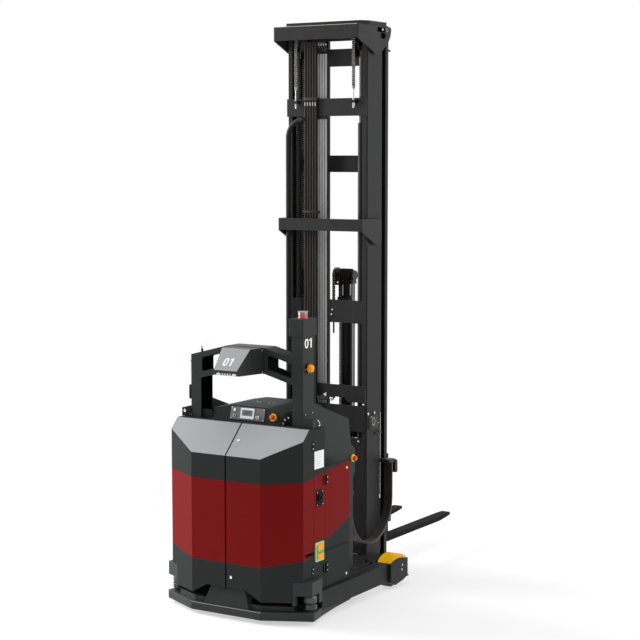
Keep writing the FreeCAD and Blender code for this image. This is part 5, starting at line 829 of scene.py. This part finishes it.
# %% Console pieces
ON_CONSOLE = at((0, 292, 1453)) @ Matrix.Rotation(math.radians(-13.57), 4, "X")
BUTTON_RING = [(9.6, 0), (12.5, 0), (13.0, 1.0), (12.0, 3.2), (10.2, 3.6), (9.6, 2.6), (9.6, 0)]
KEY_RING = [(10.6, 0), (15, 0), (15.5, 1.2), (13.4, 3.0), (10.6, 3.4), (10.6, 0)]
TEXT = [(80, 78), (72, 60), (64, 70), (56, 44)]
LINES = [(-118, 104, 8, 1.2), (-118, 62, 9, 1.2), (92, 66, 13, 1.2), (20, 20.5, 5, 1.2), (60, 52, 4, 1),
         (72, 38, 4, 1), (66, 45, 4, 1)]
build("display_glass", plastic["screen"], "chassis",
      (block, (-49, 47), (-5.4, -4.4), (45, 89), 0.3), place=ON_CONSOLE)
build("display_text", plastic["black"], "chassis",
      *[(block, (-40, -40 + width), (-5.9, -5.3), (z - 1.4, z + 1.4)) for z, width in TEXT], place=ON_CONSOLE)
build("control_plate_screws", metal["zinc"], "chassis",
      *[(screw, (x, -3, z), (0, -1, 0), 4.6, 3.5) for x in (-147, 147) for z in (21, 103)], place=ON_CONSOLE)
build("button_bezels", metal["zinc"], "chassis",
      (lathe, BUTTON_RING, turned((-118, -3, 85))), (lathe, BUTTON_RING, turned((-118, -3, 40))),
      (lathe, KEY_RING, turned((92, -3, 40))), place=ON_CONSOLE)
build("console_print", plastic["black"], "chassis",
      *[(block, (x - wide, x + wide), (-3.5, -2.9), (z - high, z + high)) for x, z, wide, high in LINES],
      place=ON_CONSOLE)
print("console dressed")

# %% [markdown]
# ## Numbers
# The truck's number stands on the arch post and on the sloping face of the sensor box. It is a stencil, so
# flat digits a fraction of a millimetre thick are enough. The 0 is the ring between two ovals. The 1 is a
# bar and a slanted flag.

# %% The number 01
def number(name, place, height, shear=0.0):
    """The number 01 as a thin stencil. The matrix gives the place, with local X to the right and local Z out."""
    bm = bmesh.new()
    rings = []
    for rx, ry in ((0.29, 0.5), (0.115, 0.335)):
        oval = bmesh.ops.create_circle(bm, segments=40, radius=1, matrix=Matrix.Diagonal((rx, ry, 1, 1)))["verts"]
        for v in oval:
            v.co.x = math.copysign(abs(v.co.x / rx) ** 0.72, v.co.x) * rx - 0.33
        rings += edges_of(oval)
    bmesh.ops.bridge_loops(bm, edges=rings)
    bar = at((0.35, 0, 0)) @ Matrix.Diagonal((0.20, 1.0, 1, 1))
    bmesh.ops.create_grid(bm, x_segments=1, y_segments=1, size=0.5, matrix=bar)
    slip = at((0.17, 0.33, 0)) @ Matrix.Diagonal((0.18, 0.17, 1, 1))
    for v in bmesh.ops.create_grid(bm, x_segments=1, y_segments=1, size=0.5, matrix=slip)["verts"]:
        v.co.y += 0.08 if v.co.x > 0.17 else -0.06
    for v in bm.verts:
        v.co.x += shear * v.co.y
    grown = bmesh.ops.extrude_face_region(bm, geom=bm.faces[:])["geom"]
    bmesh.ops.translate(bm, vec=(0, 0, 0.4 / height), verts=only(bmesh.types.BMVert, grown))
    bmesh.ops.transform(bm, matrix=place @ Matrix.Diagonal((height, height, height, 1)), verts=bm.verts)
    return piece(name, bm, plastic["label"], "chassis")


def facing(origin, right, out):
    """A matrix with local X to the right and local Z out of a surface."""
    right, out = Vector(right).normalized(), Vector(out).normalized()
    turn = Matrix((right, out.cross(right), out)).transposed().to_4x4()
    return at(origin) @ turn


WIDENED = Matrix.Scale(1.3, 4, (1, 0, 0))
number("number_on_post", facing((510.3, 363, 2076), (0, 1, 0), (1, 0, 0)) @ WIDENED, 70)
SLOPE = Vector((0, 143, 149)).normalized()
face_out = Vector((0, -SLOPE.z, SLOPE.y))
middle = Vector((-4, 12, 1876)) + SLOPE * 78 + face_out * 0.3
number("number_on_sensor", facing(middle, (1, 0, 0), face_out), 74, shear=0.06)
print("numbers set")

# %% [markdown]
# ## Screws, locks and hinges
# Sheet metal is held by visible screws. They are listed by the body they ride on, so that a door takes its
# own screws along when it swings.

# %% Screws
RIGHT, FRONT, UP = (1, 0, 0), (0, -1, 0), (0, 0, 1)
SIDES = {"right": 1, "left": -1}
screws = {"chassis": [
    (148, 283.8, 2008, FRONT, 6), (148, 283.8, 1843, FRONT, 6), (-148, 283.8, 2008, FRONT, 6),
    (-148, 283.8, 1843, FRONT, 6), (-74, 550, 1569, UP, 5), (-41, 538, 1569, UP, 5), (74, 550, 1569, UP, 5),
    (41, 538, 1569, UP, 5), (510.2, 412, 1490, RIGHT, 5), (610, 310, 452, RIGHT, 3.5), (610, 412, 584, RIGHT, 3.5),
    (604.2, 330, 872, RIGHT, 4), (604.2, 404, 969, RIGHT, 4), (604.2, 330, 969, RIGHT, 4), (604.2, 404, 872, RIGHT, 4)]}
screws["reach"] = [(46, 1461.8, 2220, FRONT, 7), (37, 1461.8, 2182, FRONT, 7)] + [
    (x, 1442.8, z, FRONT, 8) for x in (307, -307) for z in (1163, 340)]
for side, sign in SIDES.items():
    outward = (sign, 0, 0)
    screws["chassis"] += [(sign * 510.2, y, z, outward, 5) for y, z in ((314, 1883), (314, 1547), (411, 1551))]
    screws[f"front_door_{side}"] = [
        (sign * 602, y, z, outward, 5) for y, z in ((273, 1340), (273, 1303), (272, 399), (272, 368))]
for body, places in screws.items():
    build(f"screws_{body}", metal["zinc"], body,
          *[(screw, place, way, radius, radius * 0.8) for *place, way, radius in places])
print(sum(len(places) for places in screws.values()), "screws")


# %% Quarter-turn locks
def lock(bm, place, way, radius):
    """A turned head with a key slot across it."""
    way = Vector(way).normalized()
    profile = [(0, 2.6), (radius * 0.62, 2.6), (radius * 0.7, 3.2), (radius * 0.9, 3.0), (radius, 1.6), (radius, 0),
               (0, 0)]
    lathe(bm, profile, at(place) @ way.to_track_quat("Z", "Y").to_matrix().to_4x4(), 24)
    slot = facing(Vector(place) + way * 2.2, way.orthogonal(), way)
    bmesh.ops.create_cube(bm, size=1, matrix=slot @ Matrix.Diagonal((radius * 0.9, 1.8, 1.6, 1)))


build("locks_front_door_right", metal["zinc"], "front_door_right",
      (lock, (48, 112, 1343.5), (0, -FACET_SLOPE, 1), 11), (lock, (47, 4.6, 322), FRONT, 11))
for side, sign in SIDES.items():
    build(f"locks_rear_door_{side}", metal["zinc"], f"rear_door_{side}",
          *[(lock, (sign * 599.4, y, z), (sign, 0, 0), 10) for y, z in ((765, 1089), (760, 267))])
print("locks set")

# %% [markdown]
# A rear door hangs on two black hinges: the sleeve and one leaf swing with the door, the other leaf stays. A
# front door shows only the edge of its hinge leaves. Where the two front doors meet, a near-black strip on each is
# painted shade in the gap.

# %% Hinge sleeves, leaves and painted gap shade
SLEEVE = [(9.2, -34), (10.4, -33), (10.4, 33), (9.2, 34), (0, 34)]


# Painted shade in the door gap, carried up the sloping facet.
def gap_shade_on_facet(bm, x):
    strip = facing((x, 115, 1346.9), RIGHT, (0, -FACET_SLOPE, 1)) @ Matrix.Diagonal((4.2, 304, 0.8, 1))
    bmesh.ops.create_cube(bm, size=1, matrix=strip)


for side, sign in SIDES.items():
    door, leaf_x, levels = f"rear_door_{side}", (sign * 599.2, sign * 603.5), (374, 1044)
    build(f"hinge_leaves_{side}", plastic["black"], door,
          *[(lathe, SLEEVE, at((sign * 606, 451, z)), 20) for z in levels],
          *[(block, leaf_x, (455, 489), (z - 33, z + 33), 1.2) for z in levels])
    build(f"hinge_screws_{side}", metal["zinc"], door,
          *[(screw, (sign * 603.4, 474, z + dz), (sign, 0, 0), 5.2, 3.4) for z in levels for dz in (-19, 19)])
    build(f"hinge_plates_{side}", plastic["black"], "chassis",
          *[(block, leaf_x, (419, 447), (z - 33, z + 33), 1.2) for z in levels])
    door = f"front_door_{side}"
    build(f"front_hinge_leaves_{side}", plastic["black"], door,
          *[(block, (sign * 599.2, sign * 602.2), (262, 284), span, 1) for span in ((1286, 1357), (352, 415))])
    # Near-black strips along the meeting edges: painted shade in the gap between the front doors.
    build(f"door_gap_shade_{side}", plastic["painted_shade"], door,
          (block, (sign * 0.8, sign * 5.0), (4.4, 5.2), (222, 1238)), (gap_shade_on_facet, sign * 2.9))
# A near-black block: painted shade inside the slot on the right front door's side.
build("door_side_slot", plastic["painted_shade"], "front_door_right", (block, (599.4, 600.5), (170, 262), (511, 524), 0.4))
print("hinges and seals in place")

# %% [markdown]
# ## Labels, socket, hooks and antenna
# These are the small bought parts on the housing: a rating label, the dial in the service socket, hooks for
# the charging lead, the charging board and a radio box with its whip antenna.

# %% Wires bent to shape
def bent_wire(name, points, radius):
    """A round wire through points: a poly curve with a bevel, turned into a mesh."""
    curve = bpy.data.curves.new(name, "CURVE")
    curve.dimensions = "3D"
    curve.bevel_depth, curve.bevel_resolution, curve.use_fill_caps = radius, 3, True
    line = curve.splines.new("NURBS")
    line.points.add(len(points) - 1)
    for point, place in zip(line.points, points):
        point.co = (*place, 1)
    line.order_u, line.use_endpoint_u, line.resolution_u = 3, True, 6
    sketch = in_scene(name + "_sketch", curve)
    bm = bmesh.new()
    bm.from_mesh(sketch.evaluated_get(bpy.context.evaluated_depsgraph_get()).to_mesh())
    bpy.data.objects.remove(sketch)
    bpy.data.curves.remove(curve)
    return piece(name, bm, metal["zinc"], "chassis", angle=60)


bent_wire("lead_hook", [(596, 346, 1508), (604, 347, 1507), (607, 349, 1497), (606, 356, 1488), (606, 364, 1480),
                        (606, 362, 1468), (606, 352, 1464), (606, 343, 1472)], 3.2)
bent_wire("antenna_whip", [(-463, 361, 1998), (-462, 361, 2003), (-440, 361, 2008), (-400, 361, 2018),
                           (-356, 361, 2028)], 1.4)
print("wires bent")

# %% Small parts on the housing
DIAL = [(0, 7), (11, 7), (13, 5), (20, 4), (23, 8), (26, 8), (27, 5), (27, 0), (0, 0)]
GLAND = [(3.2, 0), (5.5, 0), (5.8, 1.2), (4.6, 2.2), (3.2, 1.6), (3.2, 0)]
RIM = [(0.01, 0), (38, 0), (40, 1.5), (40, 4), (37, 6), (0.01, 7)]
housing_parts = {
    "rating_label": (plastic["label"], (block, (599.1, 599.9), (299, 431), (1145, 1278), 0.2)),
    "rating_label_print": (plastic["print"], *[
        (block, (599.8, 600.1), (311, 311 + width), (1260.7 - i * 16, 1263.3 - i * 16))
        for i, width in enumerate((104, 84, 96, 60, 90, 72, 98))]),
    "socket_dial": (plastic["black"], (lathe, DIAL, turned((604, 367, 922), "Y"))),
    "socket_pointer": (plastic["black"], (block, (610, 614), (362, 372), (905, 939), 1.5)),
    # Glossy black discs on the panel: painted shade inside the lead hook's holes.
    "lead_hook_holes": (plastic["gloss_black"], *[(rod, (595, y, 1488), (596.2, y, 1488), 8) for y in (300, 400)]),
    "left_hook_disc": (metal["zinc"], (rod, (-567, 277.4, 1498), (-567, 274, 1498), 12, 24)),
    "radio_box": (plastic["black"], (block, (-544, -510.5), (300, 372), (1590, 1700), 4),
                  (block, (-551, -543), (310, 362), (1606, 1684), 2)),
    "antenna_foot": (plastic["black"], (rod, (-458, 361, 1952), (-461, 361, 1976), 9, 18),
                     (rod, (-461, 361, 1974), (-463, 361, 2000), 6, 16, 3)),
    "nose_plate": (paint["plate"], (block, (-141, 129), (27, 30), (135, 200), 1.5)),
    "cable_entry_plate": (plastic["black"], (block, (314, 400), (288, 293.6), (1461, 1550), 2)),
    "cable_glands": (metal["zinc"], *[
        (lathe, GLAND, turned((x, 288, z)), 24) for x, z in ((345, 1500), (378, 1516), (331, 1470))]),
    # A near-black sheet: painted shade inside the left post's open channel.
    "post_channel_shade": (plastic["painted_shade"], (block, (-421, -418.4), (287, 435), (1456, 1762), 1),
                           (block, (-421, -418.4), (287, 435), (1800, 1925), 1)),
    "lamp_collars": (plastic["black"], *[
        (rod, (sign * 510.3, 352, 1889), (sign * 522, 352, 1889), 35.5, 40) for sign in (-1, 1)]),
    "beacon_rim": (plastic["clip"], (lathe, RIM, at((454, 372, 2304)), 48)),
    "charging_board_middle": (plastic["green"], (block, (609.5, 612.3), (319, 416), (481, 538), 0.5)),
    "charging_board_pins": (metal["zinc"], *[
        (rod, (612, y, z), (613, y, z), 3, 10) for y in (343, 358, 373, 388) for z in (500, 519)]),
}
for name, (look, *steps) in housing_parts.items():
    build(name, look, "chassis", *steps)
print(len(housing_parts), "small parts on the housing")

# %% [markdown]
# ## Sensors
# The stereo camera bar carries lenses behind a dark rim. The corner scanners have a dark waist around which
# the laser looks out, and the rest of them is a silver-grey casting.

# %% Lenses and scanner windows
LENS = [(0, 1.6), (4.2, 1.8), (5.4, 2.6), (6.6, 2.6), (7.2, 1.4), (7.2, -1), (0, -1)]
WINDOW = [(50.2, 118), (51.6, 120), (51.8, 146), (50.2, 148), (50.2, 118)]
build("stereo_lenses", plastic["gloss_black"], "chassis",
      *[(lathe, LENS, turned((x, 24, 1846)), 20) for x in (-46, 0, 46)],
      *[(block, span, (22.6, 24), (1841, 1851), 0.5) for span in ((-30, -16), (16, 30))])
build("scanner_windows", plastic["gloss_black"], "chassis",
      *[(lathe, WINDOW, at((x, 238, 0)), 48) for x in (-600, 600)])
print("sensors done")

# %% [markdown]
# ## Mast details
# Hoses are held to the cross-member by pale clips. Clamps gather the sensor cables, which run up in four pale
# sheaths. The right rail has a slotted adjusting plate, a stop rod and a few fixings.

# %% Clips, clamps, sheaths and the adjusting plate
cable_x = [-84 + 24 * i for i in range(4)]
CABLE_Y = 1456.5


def sheath(bm, x):
    place = at((x, CABLE_Y, 2740)) @ Matrix.Diagonal((1, 0.56, 1, 1))
    bmesh.ops.create_cone(bm, segments=20, radius1=9.4, radius2=9.4, depth=3060, matrix=place)


def arrow(bm, x, y, z):
    """A triangular marker that faces forwards."""
    bmesh.ops.create_cone(bm, cap_ends=True, segments=3, radius1=21, radius2=21, depth=5,
                          matrix=turned((x, y, z)) @ Matrix.Rotation(math.pi / 2, 4, "Z"))


SLOT_RING = [(0.78, 0), (1, 0), (1, 1.6), (0.78, 1.6), (0.78, 0)]
AROUND_SLOT = at((377.9, 1557, 1318)) @ Matrix.Diagonal((1, 22, 34, 1))
mast_parts = {
    "hose_clips": (plastic["clip"], *[
        (block, (x - 5, x + 5), (1407.5, 1410.5), (3858, 3886), 1) for x in [-182 + i * 24.3 for i in range(5)]]),
    "hose_clamps": (metal["casting"], (block, (-200, -66), (1410, 1437), (3905, 3925), 3),
                    (block, (-200, -66), (1410, 1451), (3000, 3016), 3),
                    (block, (-104, 4), (1447, 1466), (3752, 3778), 3),
                    (block, (-104, 4), (1444, 1468), (4290, 4316), 3),
                    *[(rod, (x, CABLE_Y, 4316), (x, CABLE_Y, 4338), 7, 6) for x in cable_x]),
    "cable_ferrules": (metal["steel"], *[
        (rod, (x, CABLE_Y, 4338), (x, CABLE_Y, 4352), 5.6, 16) for x in cable_x]),
    "cable_sheaths": (rubber["sheath"], *[(sheath, x) for x in cable_x]),
    "adjusting_plate": (paint["mast"], (block, (372.3, 378), (1480, 1629), (1262, 1368), 2),
                        (block, (372.3, 384), (1580, 1682), (1210, 1224), 1.5)),
    "adjusting_slot": (plastic["clip"], (lathe, SLOT_RING, AROUND_SLOT @ turned((0, 0, 0), "Y"), 40)),
    "stop_rod_and_knobs": (
        metal["zinc"], *[(rod, (372, y, z), (377, y, z), 6, 18) for y, z in ((1465, 1391), (1563, 1389))],
        *[(screw, (377, y, z), RIGHT, 10, 8) for y, z in ((1465, 1391), (1563, 1389))],
        (rod, (375.5, 1671, 1379), (375.5, 1671, 703), 2.4, 10),
        (screw, (378, 1520, 1360), RIGHT, 5, 4), (screw, (378, 1628, 1298), RIGHT, 5, 4)),
    "stop_rod_plug": (plastic["white"], (rod, (375.5, 1664, 703), (375.5, 1664, 672), 5.5, 14)),
    "junction_block": (plastic["brown"], (block, (-63, 28), (1426, 1437), (1484, 1513), 2)),
    "cable_markers": (plastic["white"], *[
        (block, (x - wide, x + wide), (1431, 1437.5), (z - high, z + high), 2)
        for x, z, wide, high in ((-78, 1500, 7, 7), (52, 1497, 16, 11), (353, 1469, 9, 5))], (arrow, -5, 1435, 1526)),
    "panel_apron": (rubber["cable"], (block, (-345, 345), (1444.5, 1449.5), (246, 311), 1)),
}
for name, (look, *steps) in mast_parts.items():
    build(name, look, "reach", *steps)
print(len(mast_parts), "mast details")

# %% [markdown]
# The mast's top has its own fixings: bolts and rings on the two bent tie brackets, with near-black sheets as painted
# shade in their pockets, a bright lip on the cross-member, and a folded head cover with its corners cut, which rises
# with the middle stage.

# %% The mast's top
BOTH = (-1, 1)
RING = [(10, 0), (15, 0), (15, 1.2), (10, 1.2), (10, 0)]
COVER_Z = (4485.5, 4518.5)


def head_plate(bm):
    """The cover's front strip, narrower along its front edge."""
    strip = at((0, 1422, 4502)) @ Matrix.Diagonal((780, 66, 33, 1))
    for v in bmesh.ops.create_cube(bm, size=1, matrix=strip)["verts"]:
        v.co.x *= 0.885 if v.co.y < 1400 else 1


def tie_bolt(bm, s):
    """A nut and its bolt on the outside, and a stop on the inside."""
    rod(bm, (s * 395, 1640, 4457), (s * 404, 1640, 4457), 10, 6)
    rod(bm, (s * 404, 1640, 4457), (s * 409, 1640, 4457), 6)
    rod(bm, (s * 375, 1790, 4300), (s * 393, 1790, 4300), 9, 18)


build("top_tie_bolts", metal["zinc"], "reach", *[(tie_bolt, s) for s in BOTH])
# Near-black sheets: painted shade in the pockets of the tie brackets.
build("top_tie_pockets", plastic["painted_shade"], "reach",
      *[(block, (s * 395.1, s * 395.9), (1572, 1690), (4438, 4474)) for s in BOTH])
build("top_tie_rings", plastic["clip"], "reach",
      *[(lathe, RING, turned((s * 395.2, 1728, 4458), "Y", s)) for s in BOTH])
build("top_tie_lip", plastic["clip"], "reach", (block, (-384, 384), (1271.0, 1274.5), (4480.5, 4485.0)))
build("stage_head_cover", paint["cover"], "middle_stage", (head_plate,),
      *[(block, (s * 366, s * 390), (1455, 1726), COVER_Z) for s in BOTH],
      *[(block, (s * 314, s * 366), (1455, 1510), COVER_Z) for s in BOTH],
      *[(block, (s * 314, s * 334), (1484, 1510), (4463.5, COVER_Z[0])) for s in BOTH])
print("mast's top done")

# %% [markdown]
# ## Wheel boxes
# Each wheel box shows the heads of its axle screws on the outside and a small stop at its rear end.

# %% Wheel box screws and stops
build("wheel_box_screws", metal["zinc"], "chassis",
      *[(screw, (s * 660, y, z), (s, 0, 0), 7, 5) for s in BOTH for y, z in ((1535, 176), (1528, 140))])
build("wheel_box_stops", plastic["black"], "chassis",
      *[(block, (s * 618, s * 646), (1652, 1676), (58, 66), 1) for s in BOTH],
      *[(rod, (s * 632, 1668, 62), (s * 632, 1668, 74), 8, 16) for s in BOTH])
print("wheel boxes done")
